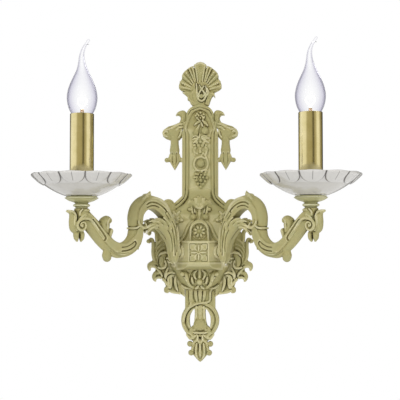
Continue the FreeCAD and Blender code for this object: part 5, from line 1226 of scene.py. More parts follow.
def make_pendant():
    """Fluted tab, pierced ring and fleur tip."""
    clay = Clay((0, 0, -158), (29, 19, -58), 0.45)
    clay.plate(mirrored([(18.6, -66), (18.6, -90)]), 3.0, 11.2, 1.4, 0.4)
    clay.plate(oval(0.0, RING_Z, RING_R, RING_R, np.linspace(0, 2 * math.pi, 48, endpoint=False)),
               3.0, 12.0, 2.4, 0.8)
    clay.plate(mirrored([(17.4, -118), (16.8, -122.4), (13, -127), (7, -131)]), 3.0, 11.2, 1.6, 1.0)
    clay.plate(mirrored([(8, -128), (11, -138), (9, -145.6), (7.2, -148), (2.8, -153), (0.01, -155.1)]),
               3.0, 11.0, 1.6, 1.0)
    # the fluted fan in the tab
    petals(clay, [[(0, -67.6, 2.4), (0, -74, 2.6), (0, -81.6, 1.2)],
                  [(5.6, -68.6, 2), (5, -75, 2.1), (3.8, -81, 1)]], 0.4, 0.6)
    grooves(clay, [[(2.9, -68.4), (2.8, -74), (2.4, -80.6)], [(8.4, -68.4), (7.8, -76), (5.6, -81.6)]],
            0.6, 0.2)
    # ring: raised rim with an engraved line, and the slits
    arc = np.radians(np.linspace(78, -64, 26))
    clay.stroke([(x, 12.0, z, 1.6) for x, z in oval(0.0, RING_Z, 21.0, 21.0, arc)], 0.6, 0.6)
    clay.stroke([(x, 12.0, z, 1.7) for x, z in oval(0.0, RING_Z + 1.0, 15.2, 14.6, arc)], 0.7, 0.5)
    grooves(clay, [oval(0.0, -103.6, 18.4, 17.4, arc[::3])], 0.75, 0.0)
    slit = [(6.6, -92.2), (7.6, -90.6), (10.2, -94), (12.4, -98.6), (12.9, -104.2), (12.5, -109.6),
            (11.4, -112.8), (8.2, -108.4), (7, -102.4)]
    clay.plate([tuple(p) for p in curve(slit, 3, closed=True)], -3.0, 19.0, 0.3, 0.6, cut=True)
    # bar between the slits, and the dome over the lobes
    petals(clay, [[(0, -87.6, 2.6), (0, -94, 3), (0, -101, 1.6)],
                  [(4.6, -87.6, 1.3), (4.8, -95, 1.6), (5.2, -102.6, 0.8)]], 0.2, 0.5)
    grooves(clay, [[(2.8, -89.6), (2.6, -99.6)]], 0.4, 0.1)
    clay.stroke([(0, 12, -107.4, 5.6), (0, 12, -111.4, 5.6)], 0.62, 0.5)
    clay.stroke([(0, 12, -110, 6), (5, 11.6, -112.2, 4.2)], 0.6, 0.6)
    grooves(clay, [[(4.4, -102.8), (7.6, -107.4), (9.8, -111.4)], [(0, -116.6), (6.6, -116.4)]], 0.7, 0.3)
    petals(clay, [[(10.4, -113.4, 0.7), (10.6, -115.8, 2.6), (10.6, -118, 2.8)],
                  [(0, -119.4, 1.4), (7, -119.2, 1.2)]], 0.9)
    # crescents, the keyhole and the two pairs of curls
    petals(clay, [[(3.8, -121.6, 0.9), (8.4, -125.2, 1.7), (12.2, -126, 1.9), (16.6, -121.8, 1)],
                  [(2.6, -123, 1.3), (4.4, -128.4, 1.6), (8, -131.6, 1.4), (9.8, -135, 1)],
                  [(2.8, -122.4, 0.9), (3, -126.6, 0.9), (1.6, -130.6, 1.2)]], 0.5)
    grooves(clay, [[(5.6, -122.6), (10.6, -123.4), (15, -121.2)], [(8.6, -127.6), (10.8, -128.4)]], 0.8, 0.4)
    clay.ball(12.4, 10.4, -132.8, 3.6, 1.0, 0.6)
    clay.ball(11.0, 10.2, -143.6, 3.6, 1.0, 0.6)
    clay.stroke([(8.6, 10.6, -136.6, 1.8), (9.6, 10.4, -140, 1.6)], 1.0, 0.8)
    grooves(clay, [[(10.2, -131), (12.2, -130.8), (13.4, -133), (11.6, -134.8)],
                   [(8.6, -142), (11, -141.6), (12.4, -144)]], 0.5, 0.2)
    petals(clay, [[(0, -131.4, 2.2), (0, -134, 1.6)], [(0, -133.6, 1.2), (0, -142, 1.8), (0, -149.6, 0.6)],
                  [(4, -132.6, 1), (5, -138.4, 1.5), (5.2, -144.6, 1.3), (2.6, -151.6, 0.6)]], 0.7)
    grooves(clay, [[(1.9, -133.6), (1.7, -139), (2.8, -145), (0.8, -150)],
                   [(7.2, -137.6), (6.8, -146)]], 0.6, 0.3)
    clay.stroke([(0, 7, -125.4, 1.5), (0, 19, -125.4, 1.5)], 1.0, 0.3, cut=True)
    clay.stroke([(0, 9.4, -126.4, 0.9), (0, 9.4, -129.6, 0.7)], 2.0, 0.3, cut=True)
    clay.plate(block(-9, 40, -170, -50), -6.0, 3.0, 0.1, 0.3, cut=True)
    clay.plate(block(-9, 40, -66.0, -50), -6.0, 25.0, 0.1, 0.2, cut=True)
    clay.unfold()
    # the ribbon comes down on the right, crosses the tab's foot and follows the ring on the left
    petals(clay, [[(-11.4, -67, 2.6), (-11.4, -76, 2.6), (-11.2, -85.4, 2)]], 0.0, 0.5)
    ribbon = [(14.6, -66.4), (12.6, -69.4), (12.3, -75), (12, -79.4), (9.6, -81.9), (3, -82.8), (-4, -84),
              (-10.4, -87), (-15.6, -91.8), (-18.8, -98.2), (-20.4, -105.6)]
    grooves(clay, [[(-14.4, -68), (-14.2, -78), (-13, -85)],
                   [(-8.6, -69.4), (-8.2, -76), (-6, -82)]], 0.7, 0.2)
    clay.stroke(clay.on(curve(ribbon, 4), 0.6, 1.4), 1.0, 0.3)
    grooves(clay, [[(x + (1.5 if x > 11 else -0.6), z - (0.4 if x > 11 else 2.0)) for x, z in ribbon]],
            0.55, 0.2)
    hand_over(clay.cast("pendant_carved", PAINT), "casting", "pendant")


def make_housing():
    """Corbelled box with slanted sides that the arms leave, and the niche with its rosette over it."""
    slope = math.tan(ARM_ANGLE)
    clay = Clay((0, 20, -49), (34, 50, 23), 0.42)
    cuts, (x, d, z) = clay.near((0, 20, -49), (34, 50, 23), 0)
    side = (x - BOX_HALF - (HOUSING_D - d) * slope) * math.cos(ARM_ANGLE)
    box = np.maximum(np.maximum(side, d - HOUSING_D), np.maximum(z - BOX_TOP, BOX_LOW - z))
    clay.join(cuts, np.maximum(box, BODY_FRONT - d).astype(np.float32), 0.3)
    # apron under the box: a smooth swelling as wide as the box, rounded back to the belly
    reach = np.clip((z + 42.0) / 8.6, 0.0, 1.0)
    under = np.maximum(d - BODY_FRONT - 22.0 * np.sqrt(1.0 - (1.0 - reach) ** 2),
                       np.maximum(z + 33.0, -42.0 - z))
    apron = np.maximum(np.maximum(0.6 * under, BODY_FRONT - d), 0.8 * (x - 12.6 - 0.72 * (HOUSING_D - d)))
    clay.join(cuts, apron.astype(np.float32), 0.6)
    # ledge on top, with its rolled front
    clay.plate(mirrored([(24, -8.4), (25.4, -7.2), (BOX_HALF, -7.2)]), BODY_FRONT, 33.0, 0.6, 0.4)
    clay.stroke([(0, 45.2, -8, 1.1), (12.4, 45, -8, 1.1), (27.2, 25, -8, 1.1)], 1.0, 0.4)
    # niche
    arch = oval(0.0, 6.6, 11.6, 11.8, np.linspace(0, math.pi, 25))
    clay.plate(arch + [(-12.2, -9), (12.2, -9)], BODY_FRONT, 33.0, 1.6, 0.5)
    inner = oval(0.0, 4.6, 9.6, 10.0, np.linspace(0, math.pi, 21))
    clay.plate(inner + [(-9.8, -6.8), (9.8, -6.8)], 27.4, 40.0, 0.3, 0.4, cut=True)
    rim = oval(0.0, ROSETTE_Z, 9.4, 9.4, np.linspace(0, 2 * math.pi, 33))
    clay.stroke([(x, 27.4, z, 0.8) for x, z in rim], 1.0, 0.3)
    petal = ((1.6, 28, 0.8), (5, 28.4, 1.7), (6.9, 28.2, 1.6))  # away from the middle, depth, radius
    vein = ((2.6, 29.4, 0.3), (6.4, 29.9, 0.4))
    for k in range(8):
        turn = math.radians(22.5 + 45 * k)
        c, w = math.cos(turn), math.sin(turn)
        if c > -0.1:
            clay.stroke([(r * c, deep, ROSETTE_Z + r * w, size) for r, deep, size in petal], 0.8, 0.2)
            line = [(r * c, deep, ROSETTE_Z + r * w, size) for r, deep, size in vein]
            clay.stroke(line, 1.0, 0.2, cut=True)
    clay.ball(0.0, 28.8, ROSETTE_Z, 2.4, 1.0, 0.2)
    # tile: four hatched square-cornered leaves on the diagonals, petals between, in a sunk square
    clay.plate(mirrored([(10.7, -31.7), (10.7, -10.3)]), HOUSING_D - 2.4, 55.0, 0.2, 0.2, cut=True)
    middle = -21.0
    sides = ((1, 0), (0, 1), (0, -1))
    for up in (-1, 1):
        corner = [(0.7, middle + 0.7 * up), (3.0, middle + 4.2 * up), (2.5, middle + 8.2 * up),
                  (4.4, middle + 10.2 * up), (10.2, middle + 10.2 * up), (10.2, middle + 4.4 * up),
                  (8.2, middle + 2.5 * up), (4.2, middle + 3.0 * up)]
        clay.plate(corner, HOUSING_D - 3.0, HOUSING_D - 0.2, 0.4, 0.2)
        for k in range(4):
            low, high = 2.6 + 1.7 * k, 9.2
            for line in ([(low + 1.2, low + 0.4), (high, high - 1.7 * (3 - k) + 0.4)],
                         [(3.8 + 1.6 * k, 9.2), (9.2, 3.8 + 1.6 * k)]):
                hatch = [(a, HOUSING_D - 0.2, middle + up * b, 0.42) for a, b in line]
                clay.stroke(hatch, 1.0, 0.15, cut=True)
    petals(clay, [[(2.2 * c, middle + 2.2 * w, 0.8), (5.6 * c, middle + 5.6 * w, 1.3),
                   (9.2 * c, middle + 9.2 * w, 0.6)] for c, w in sides], 0.0, 0.6, depth=HOUSING_D - 1.7)
    grooves(clay, [[(3.0 * c, middle + 3.0 * w), (8.6 * c, middle + 8.6 * w)] for c, w in sides], 0.35, 0.1)
    seeds = oval(0.0, middle, 1.5, 1.5, np.radians([-67.5, -22.5, 22.5, 67.5]))
    balls(clay, [(x, z, 1.0) for x, z in seeds], 0.0, 0.8)
    # hollow behind, open to the body's window
    inside = np.maximum(np.maximum(side + WALL, d - HOUSING_D + WALL + 1.2),
                        np.maximum(z - BOX_TOP + WALL, BOX_LOW + WALL - z))
    clay.join(cuts, np.maximum(inside, 20.0 - d).astype(np.float32), 0.2, cut=True)
    clay.plate(block(-9, 40, -60, 30), 10.0, BODY_FRONT, 0.1, 0.2, cut=True)
    clay.unfold()
    hand_over(clay.cast("housing_carved", PAINT), "casting", "arm_housing")


# Arms, modelled in the arm's upright plane: along the arm, out from its middle plane, and up
ARM_ROUTE = [(-4.3, -20), (10.4, -20), (17.4, -13), (18.4, 13), (31, 38), (51, 41.5), (64.5, 31.5),
             (67.5, -1.5), (77, -19), (93.5, -20.5), (116, 2.5), (130.87, 15.5), (136.87, 23.5),
             (136.87, 53.5)]


def rounded_route(corners, share=0.45, steps=6):
    """The tube's line: straight runs joined by true arcs, each as large as its two runs allow."""
    line = [np.array(corners[0])]
    for before, here, after in zip(corners, corners[1:], corners[2:]):
        here = np.array(here)
        back, ahead = np.array(before) - here, np.array(after) - here
        trim = share * min(np.linalg.norm(back), np.linalg.norm(ahead))
        back, ahead = back / np.linalg.norm(back), ahead / np.linalg.norm(ahead)
        turn = math.pi - math.acos(float(np.clip(back @ ahead, -1, 1)))
        radius = trim / math.tan(turn / 2)
        toward = (back + ahead) / np.linalg.norm(back + ahead)
        centre = here + toward * math.hypot(radius, trim)
        first, last = here + back * trim - centre, here + ahead * trim - centre
        start = math.atan2(first[1], first[0])
        sweep = (math.atan2(last[1], last[0]) - start + math.pi) % (2 * math.pi) - math.pi
        for k in range(steps + 1):
            angle = start + sweep * k / steps
            line.append(centre + radius * np.array([math.cos(angle), math.sin(angle)]))
    line.append(np.array(corners[-1]))
    return np.array(line)


def arm_place(points):
    """From the right arm's own plane to its place in front of the wall."""
    c, w = math.cos(ARM_ANGLE), math.sin(ARM_ANGLE)
    along, out = points[:, 0], points[:, 1]
    return np.stack([ARM_ROOT[0] + along * c - out * w, ARM_ROOT[1] + along * w + out * c, points[:, 2]], 1)


def rope(clay, rows, flat=1.0, blend=0.6, cut=False):
    """A stroke through rows (along, out, up, radius), smoothed between them."""
    rows = np.asarray(rows, float)
    share = np.arange(len(rows))
    fine = np.linspace(0, len(rows) - 1, (len(rows) - 1) * 4 + 1)
    smooth = curve(rows[:, [0, 2]], 4)
    deep, size = np.interp(fine, share, rows[:, 1]), np.interp(fine, share, rows[:, 3])
    clay.stroke(np.column_stack([smooth[:, 0], deep, smooth[:, 1], size]), flat, blend, cut)


def engrave(clay, points, radius, lift=0.2, end=None):
    """One engraved line through points (x, z)."""
    clay.stroke(clay.on(curve(points, 4), lift, radius, end), 1.0, 0.25, cut=True)


def make_arms():
    """Both arms: a hollow casting round the tube, scrolled and leafed, drawn from its right-hand side."""
    clay = Clay((2, 0, -44), (159, 12.5, 56.5), 0.5)
    route = rounded_route(ARM_ROUTE)
    rope(clay, [(136.9, 0, 27, 8.8), (135.9, 0, 22.4, 9.2), (131, 0, 16.8, 9.5), (124.4, 0, 10.6, 9.6),
                (117.8, 0, 3.4, 9.8), (112, 0, -3.2, 9.7), (106, 0, -9.3, 9.3), (99.5, 0, -14.2, 8.9),
                (92.5, 0, -17.2, 8.7), (86, 0, -17.8, 8.7), (79.5, 0, -16, 9.3), (73.5, 0, -11.8, 9.9),
                (69.4, 0, -6.5, 10.2), (67.6, 0, 0, 9.8), (67.2, 0, 7, 9.6), (67.4, 0, 14, 9.9),
                (67.3, 0, 21, 10.2), (65.1, 0, 28.8, 10.1), (60.2, 0, 34.6, 9.8), (53.5, 0, 38.4, 8.9),
                (46.5, 0, 38.8, 8), (39.5, 0, 37, 7.6), (33, 0, 33, 7.3), (27.6, 0, 27, 7.1),
                (22.9, 0, 18.6, 6.9), (20, 0, 10, 6.9), (18.6, 0, 1, 6.9), (17.8, 0, -8, 6.6),
                (16.4, 0, -15, 6.2), (15, 0, -21, 5), (15, 0, -26, 3.6), (16.4, 0, -31, 2.2)], 0.6, 1.2)
    # flat cheek with its rounded edge
    cheek = [(130.5, 25), (125, 21), (119.8, 15.2), (114.6, 8.8), (108, 2), (100.5, -5.4), (95, -8.6),
             (88.5, -10.2), (82, -9.8), (76.5, -6.2), (71.5, -1), (68.4, 5), (67.4, 13), (67.6, 20.2),
             (65.8, 28.6), (60.8, 36), (53, 41.2), (45.5, 42.2), (38.6, 40.6), (31, 35.6), (24.6, 27.8),
             (19, 18.6), (15.2, 9), (13.2, 0), (12.6, -9), (12.4, -18), (12.6, -26), (15.5, -32), (18.5, -29),
             (19.5, -20), (21, -10), (23, 2), (27.5, 13.5), (33, 20.7), (39.3, 26.6), (46.3, 30.2),
             (52.5, 30), (57.2, 26.6), (60, 21.5), (60.6, 14), (60, 4), (61, -4), (65.4, -12), (72.5, -19),
             (81, -22.6), (90, -23.2), (98, -19.6), (106, -12.2), (113.5, -4.4), (119.5, 2.8), (124.8, 10),
             (128.9, 15.2), (133.5, 18.6), (136, 23)]
    clay.plate([tuple(p) for p in curve(cheek, 3, closed=True)], -9.0, 7.6, 1.4, 0.4)
    clay.plate(block(20, 160, -60, 70), CHEEK_FACE, 30.0, 0.1, 0.5, cut=True)
    # engraved slots: radius, then points
    slots = ((1, (55.6, 35.8), (50.5, 38.3), (43.5, 37.9), (36.4, 34.7), (30.8, 30.4), (29.4, 28),
              (30.4, 26.2)),
             (0.7, (55.4, 31.8), (51.2, 33.9), (45, 34.4), (39.4, 32.6)),
             (1.1, (126, 16.6), (121, 11.4), (115.6, 5), (110.8, -1.4), (109.6, -4), (110.6, -6.4)),
             (0.6, (88.6, -14.6), (82.9, -14), (76.2, -11), (71.6, -7.6)),
             (0.9, (71.6, -7.6), (70.2, -10.4), (73.5, -14.8), (80.2, -18), (88.4, -19.2)),
             (0.6, (101.7, -18.4), (96.4, -20.8), (88.5, -21.8), (80.4, -21.4)))
    for size, *points in slots:
        engrave(clay, points, size, 0.35 - 0.95 * size)
    # band round the fall, and the small hook beside it
    for out, up in ((1.3, 0), (0.6, 1.8), (0.6, -1.8)):
        clay.stroke([(66.0, 7.6, 10.4 + up, out), (68.6, 7.4, 8.2 + up, out), (72.4, 5.9, 7.4 + up, out),
                     (75.6, 3.4, 7.5 + up, out), (77.0, 0, 7.6 + up, out)], 1.0, 0.3, cut=out < 1)
    rope(clay, [(67.2, 7.6, 15.8, 0.7), (66.3, 7.7, 13, 1.2), (62.8, 7.7, 9.4, 1.6), (58.4, 7.2, 8, 1.7),
                (56, 6.4, 10.6, 1.4), (57.6, 5.6, 14.4, 0.9)], 1.0, 0.25)
    rope(clay, [(58.6, 0, 7.8, 2.4), (56.4, 0, 10.2, 2.2)], 2.8, 0.4)
    engrave(clay, [(64.8, 17.8), (63.2, 12.6), (60, 11.3), (58.6, 13.4)], 0.7)
    # leaf tip over the arch
    rope(clay, [(62.6, 0, 37.4, 3.8), (57.4, 0, 41.6, 3.9), (51.4, 0, 44.6, 3.9), (49.4, 0, 47.6, 2.6),
                (47.8, 0, 51.4, 0.8)], 1.2, 0.8)
    for up, out, size in ((43, 4.2, 1.8), (46.6, 3.4, 1.6)):
        lean = (up - 44.0) * 1.1
        rope(clay, [(60.2 - lean, out, up - 4.0, size), (56.4 - lean, out + 0.8, up + 0.4, size),
                    (51.6 - lean, out, up + 2.2, 0.5 * size)], 0.9, 0.25)
    # curled leaf and the small curl on the slope
    rope(clay, [(109.5, 0, 2, 3.8), (110.6, 0, 8.5, 4.6), (109.4, 0, 14.2, 5), (105.6, 0, 17, 4.9),
                (102.6, 0, 16.2, 3.8)], 1.35, 0.6)
    rope(clay, [(107, 0, 4, 4), (106, 0, 11, 4.2)], 1.5, 0.6)
    rope(clay, [(106.4, 6.2, 7, 0.8), (107, 7, 13, 0.9), (104.6, 6.4, 17.6, 0.7), (101.6, 4.2, 18.4, 0.6)],
         1.0, 0.5)
    rope(clay, [(103, 5.2, 13.2, 1.5), (101, 3.8, 15.8, 1.6)], 1.0, 0.2, cut=True)
    rope(clay, [(102.8, 0, -2, 3.2), (100.8, 0, 4.2, 3.4)], 1.7, 0.4)
    # drop under the dip, the leaf end beside it and the thorn under the bend
    rope(clay, [(104.8, 0, -19, 4.2), (104.6, 0, -24, 5.6), (104.4, 0, -26.6, 5)], 0.95, 0.4)
    rope(clay, [(99.6, 0, -22, 2.8), (92.6, 0, -24.8, 2.3), (86, 0, -25.2, 1.6), (81, 0, -23.8, 0.9)],
         1.6, 0.4)
    rope(clay, [(67.6, 0, -10, 3), (64.8, 0, -14.6, 1.8), (63.4, 0, -17, 0.7)], 1.4, 0.5)
    # flare of leaves at the candle's end
    clay.stroke([(136.9, 0, 22, 8.6), (136.9, 0, 30, 8.2)], 1.0, 0.8)
    rope(clay, [(143.2, 0, 1.2, 2), (147.6, 0, 6.2, 3.4), (148.2, 0, 14, 3.9), (147.8, 0, 21.4, 3.8),
                (150.2, 0, 25, 2.7), (155, 0, 26, 1.1)], 1.35, 0.4)
    rope(clay, [(144.4, 4.4, 4.4, 1.1), (147.2, 5.6, 12.6, 1.4), (146.8, 5.8, 20.4, 1.4),
                (149, 4.4, 25.6, 1.2), (154, 1.8, 27, 0.8)], 1.0, 0.25)
    rope(clay, [(142.4, 6.4, 21.4, 1.2), (142.2, 7.8, 25.4, 1.1), (139.6, 9, 28.6, 0.8)], 1.0, 0.25)
    engrave(clay, [(150.4, 24), (147.8, 21), (147, 14), (146.8, 8.6), (144.8, 4.4)], 0.8, 0.3)
    for k in range(3):
        leaf(clay, [(142.6 - 2.2 * k, 17.6 + 0.6 * k), (139.4 - 1.8 * k, 19.6 + 0.9 * k),
                    (137.0 - 1.6 * k, 23.4 + 0.6 * k)], 0.8, 1.5, 7.6, 0.5)
    clay.ball(139.6, 2.6, 11.2, 8.0, 0.66, 0.6)
    rope(clay, [(118.6, 7.4, 5.2, 0.8), (125, 7.6, 13.6, 1.1), (131, 7.7, 17.6, 1.5), (138, 7.8, 17.8, 1.8),
                (143.2, 7.6, 15, 1.8), (145, 7.2, 10.6, 1.7), (143.6, 7.2, 6.4, 1.6), (139.8, 7.3, 4.6, 1.4),
                (136.2, 7.5, 6.4, 1.3), (135, 7.8, 10.4, 1.1), (137, 8.1, 13.6, 1), (140.4, 8.3, 13, 1),
                (141.8, 8.5, 10.4, 0.9), (139.8, 8.8, 9, 1.1)], 1.0, 0.2)
    clay.ball(139.2, 8.0, 10.6, 1.4, 1.0, 0.2)
    rope(clay, [(130.2, 7.9, 14.2, 1.3), (130.6, 7.5, 9.6, 2.4), (127.6, 7.4, 5.6, 1.5)], 1.0, 0.8, cut=True)
    for rows in ([(141.4, 0, 4.6, 2.4), (143.4, 0, 0.4, 3.2), (143.2, 0, -3.8, 2.8), (142.4, 0, -7.4, 1.2)],
                 [(138.2, 0, 4.6, 2.6), (136.6, 0, 0.2, 3.2), (136.6, 0, -4, 2.8), (137.4, 0, -7.4, 1.2)]):
        rope(clay, rows, 1.35, 0.3)
    rope(clay, [(140, 5.2, 2.4, 0.7), (140, 5, -5, 1.1)], 1.0, 0.2, cut=True)
    for k in range(7):
        angle = math.radians(92 + 15 * k)
        clay.ball(136.9 + 8.5 * math.cos(angle), 8.5 * math.sin(angle), 27.4, 1.25, 1.0, 0.2)
    # root: sheath, strands and the acanthus that turns over, its lobes rimmed
    rope(clay, [(15.6, 3, -34, 0.8), (17.6, 3.4, -29, 2.2), (18, 3.8, -20, 3.2), (20.2, 3.8, -9, 4),
                (25.6, 3.9, 1.6, 5.2), (33, 3.9, 9.4, 5.2), (41.4, 3.6, 13, 4.3), (49, 3.4, 11.8, 3.2),
                (54.4, 3, 6.4, 2), (56.2, 2.8, 2.4, 0.9)], 0.95, 0.5)
    lobes = ([(19, -4), (20, 5), (22.2, 12.4), (24.4, 17.4)],
             [(22.4, 0), (24.6, 9), (28.8, 16.4), (34, 20.6)],
             [(26.6, 4), (31.4, 11.6), (37.6, 17.4), (44.4, 19.8)],
             [(32, 8.4), (38.4, 13.2), (45.8, 16.4), (53.4, 15.4)],
             [(38, 10.6), (45.4, 12.2), (51.8, 11), (56.4, 6.8)],
             [(42, 8.6), (48.6, 8.6), (53.4, 5.6), (56.8, 0.4)])
    for spine, wide in zip(lobes, (2.2, 2.7, 2.9, 2.8, 2.4, 1.9)):
        leaf(clay, spine, 1.2, wide, 7.0, 1.0, 0.9, 0.0)
    for first, second in zip(lobes, lobes[1:]):
        gap = [((a + c) / 2, (b + d) / 2) for (a, b), (c, d) in zip(first[1:], second[1:])]
        engrave(clay, gap, 0.6, 0.2, 1.0)
        rope(clay, [(a + 0.5, clay.front(a + 0.5, b - 0.9) + 0.1, b - 0.9, 0.55) for a, b in gap], 1.0, 0.2)
    strands = ((0.9, (14.8, -20), (14.4, -10), (15.4, 0.6), (18.2, 9.6), (21.6, 15.6)),
               (0.8, (17.2, -24), (17.4, -12), (19.4, -1), (22.6, 6.6)),
               (0.6, (20.4, -20), (20.8, -12), (23.4, -2), (28, 6)),
               (0.6, (22.4, 20.4), (26.4, 26), (31.6, 31.6)), (0.5, (25.4, 18.6), (30, 24.4)))
    for size, *points in strands:
        engrave(clay, points, size, -0.5 * size)
    rope(clay, [(13.6, 5.4, 9, 0.9), (11.8, 5.6, -1, 1.2), (11.2, 5.4, -12, 1.3), (11.4, 5, -22, 1.3),
                (13, 4.2, -30, 1.2), (15.8, 3, -34, 0.9)], 1.0, 0.4)
    clay.whole = clay.field.copy()
    # the casting closes round the tube everywhere, and ends at its parting planes
    tube = route[((route[:, 1] < 30) | (route[:, 0] < 100)) & (route[:, 0] > 6)]
    clay.stroke([(along, 0.0, up, TUBE_CASE_R) for along, up in tube], 1.0, 0.3)
    clay.plate(block(-9, ARM_START, -60, 70), -9.0, 30.0, 0.1, 0.1, cut=True)
    clay.plate(block(120, 160, NECK_LOW, 70), -9.0, 30.0, 0.1, 0.1, cut=True)
    clay.stroke([(along, 0.0, up, TUBE_BORE) for along, up in route], 1.0, 0.2, cut=True)
    clay.unfold(1)
    cast_pair(clay, "arm_carved", "arm_SIDE", place=arm_place)


def make_collars():
    """Stepped round boss between the housing and the arm, bored for the tube."""
    clay = Clay((4.0, -9.5, -29.5), (8.4, 9.5, -10.5), 0.3)
    cuts, (x, d, z) = clay.near((4, -9.5, -29.5), (8.4, 9.5, -10.5), 0)
    away = np.hypot(d, z - ARM_ROUTE[0][1])
    reach = np.interp(x, [COLLAR_START, 5.2, 5.7, 5.9, 6.4, 7.1, COLLAR_END],
                      [8.2, 8.4, 8.1, 7.1, 7.4, 7.3, 6.9])
    shape = np.maximum(np.maximum(away - reach, COLLAR_BORE - away),
                       np.maximum(COLLAR_START - x, x - COLLAR_END))
    clay.join(cuts, shape.astype(np.float32), 0.1)
    cast_pair(clay, "collar_carved", "arm_collar_SIDE", place=arm_place)


def bead_tree():
    """Puts a small ball on every point, as large as the point's radius says."""
    tree, inputs, keys = new_tree("beads_on_points", [("Rings", "NodeSocketInt", 7),
                                                      ("Segments", "NodeSocketInt", 12)])
    ball = add_node(tree, "GeometryNodeMeshUVSphere", Segments=inputs["Segments"], Rings=inputs["Rings"],
                    Radius=1.0)
    place = add_node(tree, "GeometryNodeInputPosition")
    split = add_node(tree, "ShaderNodeSeparateXYZ", Vector=place.outputs[0])
    # the wall side is dark with wash and painted shade, the front rubbed pale and given a painted highlight
    tone = add_node(tree, "ShaderNodeMapRange", i_0=split.outputs[1], i_1=0.3, i_2=-0.9, i_3=0.1, i_4=0.84)
    toned = add_node(tree, "GeometryNodeStoreNamedAttribute", {"data_type": "FLOAT", "domain": "POINT"},
                     Geometry=ball.outputs["Mesh"], Name="hollow", Value=tone.outputs[0])
    size = add_node(tree, "GeometryNodeInputNamedAttribute", {"data_type": "FLOAT"}, Name="radius")
    placed = add_node(tree, "GeometryNodeInstanceOnPoints", Points=inputs["Geometry"],
                      Instance=toned.outputs[0], Scale=size.outputs["Attribute"])
    close_tree(tree, placed.outputs[0], PAINT)
    return tree, keys


def string_beads():
    """All the beads of the castings, each half sunk in what carries it, on the right and mirrored."""
    tree, keys = bead_tree()
    rows = [(side * x, d, z, radius) for x, d, z, radius in beads for side in (1, -1)]
    spots = new_object("bead_places", [row[:3] for row in rows], [], PAINT,
                       radius=[row[3] * MM for row in rows])
    hand_over(grow(spots, tree, keys, "beads"), "casting")


def dress_cad_nodes():
    """CAD nodes that keep their own shape get the finish of their slot."""
    slots = {part["node"]: part["material_slot"] for part in frame["record"]["subparts"]}
    for name, thing in frame["nodes"].items():
        thing.data.materials.clear()
        thing.data.materials.append(FINISHES[slots[name]])


# Light, floor and backdrop
def light_world():
    """White to the camera and through glass, a plain soft light on every surface. Gloss sees a studio: two
    tall soft boxes at the sides with dark cloth between and behind them."""
    world = bpy.data.worlds.new("studio")
    world.use_nodes = True
    bpy.context.scene.world = world
    tree = world.node_tree
    path = add_node(tree, "ShaderNodeLightPath")
    ray = add_node(tree, "ShaderNodeTexCoord").outputs["Generated"]
    ray = add_node(tree, "ShaderNodeSeparateXYZ", i_0=ray)
    turn = math_node(tree, "ARCTAN2", ray.outputs[0], math_node(tree, "MULTIPLY", ray.outputs[1], -1.0))
    place = spread(tree, turn, -math.pi, math.pi)
    room = ramp(tree, place, [(0.0, "#ffffff"), (0.05, "#4c4a44"), (0.13, "#67645a"), (0.19, "#ffffff"),
                              (0.36, "#f4f1e6"), (0.40, "#b9b193"), (0.53, "#aca482"), (0.552, "#625c48"),
                              (0.58, "#625c48"), (0.60, "#b3ab8c"), (0.64, "#c0b89c"), (0.67, "#fbf9f2"),
                              (0.745, "#f6f3ea"), (0.775, "#a8a086"), (0.83, "#948c74"), (0.87, "#3c3932"),
                              (0.95, "#3c3932"), (1.0, "#ffffff")])
    back = tree.nodes["Background"]
    gloss = math_node(tree, "SUBTRACT", path.outputs["Is Glossy Ray"], path.outputs["Is Transmission Ray"],
                      use_clamp=True)
    tree.links.new(mix(tree, gloss, "#ffffff", room), back.inputs["Color"])
    seen = path.outputs["Is Camera Ray"]
    for name in ("Is Glossy Ray", "Is Transmission Ray"):
        seen = math_node(tree, "MAXIMUM", seen, path.outputs[name])
    tree.links.new(spread(tree, seen, 0.0, 1.0, 0.5, 1.0), back.inputs["Strength"])


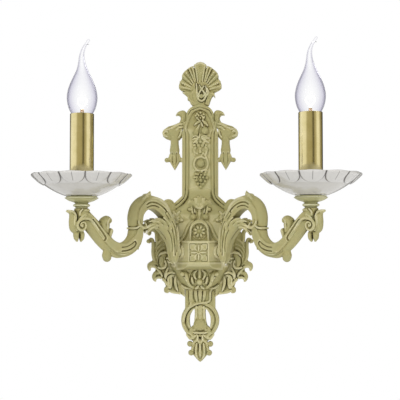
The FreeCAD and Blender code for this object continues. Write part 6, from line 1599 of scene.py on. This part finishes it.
def area_light(name, place, size, power):
    """A round soft light that looks at the origin; gloss doesn't show it."""
    data = bpy.data.lights.new(name, "AREA")
    data.shape = "DISK"
    data.size = size
    data.energy = power
    lamp = bpy.data.objects.new(name, data)
    lamp.location = place
    lamp.rotation_euler = (-Vector(place)).to_track_quat("-Z", "Y").to_euler()
    lamp.visible_glossy = False
    bpy.context.scene.collection.objects.link(lamp)


FLOOR_HALF, FLOOR_LEVEL = 1.5, -0.45  # in m


def make_floor():
    """A wide pale floor under the hanging object, white to the camera, which keeps a soft shadow."""
    half, level = FLOOR_HALF, FLOOR_LEVEL
    mesh = bpy.data.meshes.new("floor")
    mesh.from_pydata([(-half, -half, level), (half, -half, level), (half, half, level), (-half, half, level)],
                     [],
                     [(0, 1, 2, 3)])
    floor = bpy.data.objects.new("floor", mesh)
    bpy.context.scene.collection.objects.link(floor)
    material, tree, shader = new_material("studio_floor", Base_Color=linear("#f4f4f4"), Roughness=0.9)
    glow = add_node(tree, "ShaderNodeEmission", Color=(1.0, 1.0, 1.0, 1.0), Strength=1.0)
    path = add_node(tree, "ShaderNodeLightPath")
    seen = math_node(tree, "MAXIMUM", path.outputs["Is Camera Ray"], path.outputs["Is Glossy Ray"])
    share = spread(tree, seen, 0.0, 1.0, 0.0, 0.88)
    blend = add_node(tree, "ShaderNodeMixShader", i_0=share, i_1=shader.outputs[0], i_2=glow.outputs[0])
    tree.links.new(blend.outputs[0], tree.nodes["Material Output"].inputs["Surface"])
    mesh.materials.append(material)


def make_stage():
    """World, floor and three lamps, shown without any tone curve."""
    bpy.context.scene.view_settings.view_transform = "Standard"
    light_world()
    make_floor()
    area_light("key", (-0.9, -1.6, 1.1), 1.0, 16.0)
    area_light("fill", (1.3, -1.3, 0.2), 1.2, 7.0)
    area_light("back", (0.4, 1.2, 1.0), 1.0, 8.0)


make_stage()
dress_cad_nodes()
make_necks_and_cups()
make_dishes()
make_sleeves()
make_bulb_skins()
make_backplate()
make_crest()
make_side_scrolls()
make_leaf_wings()
make_pendant()
make_housing()
make_arms()
make_collars()
string_beads()
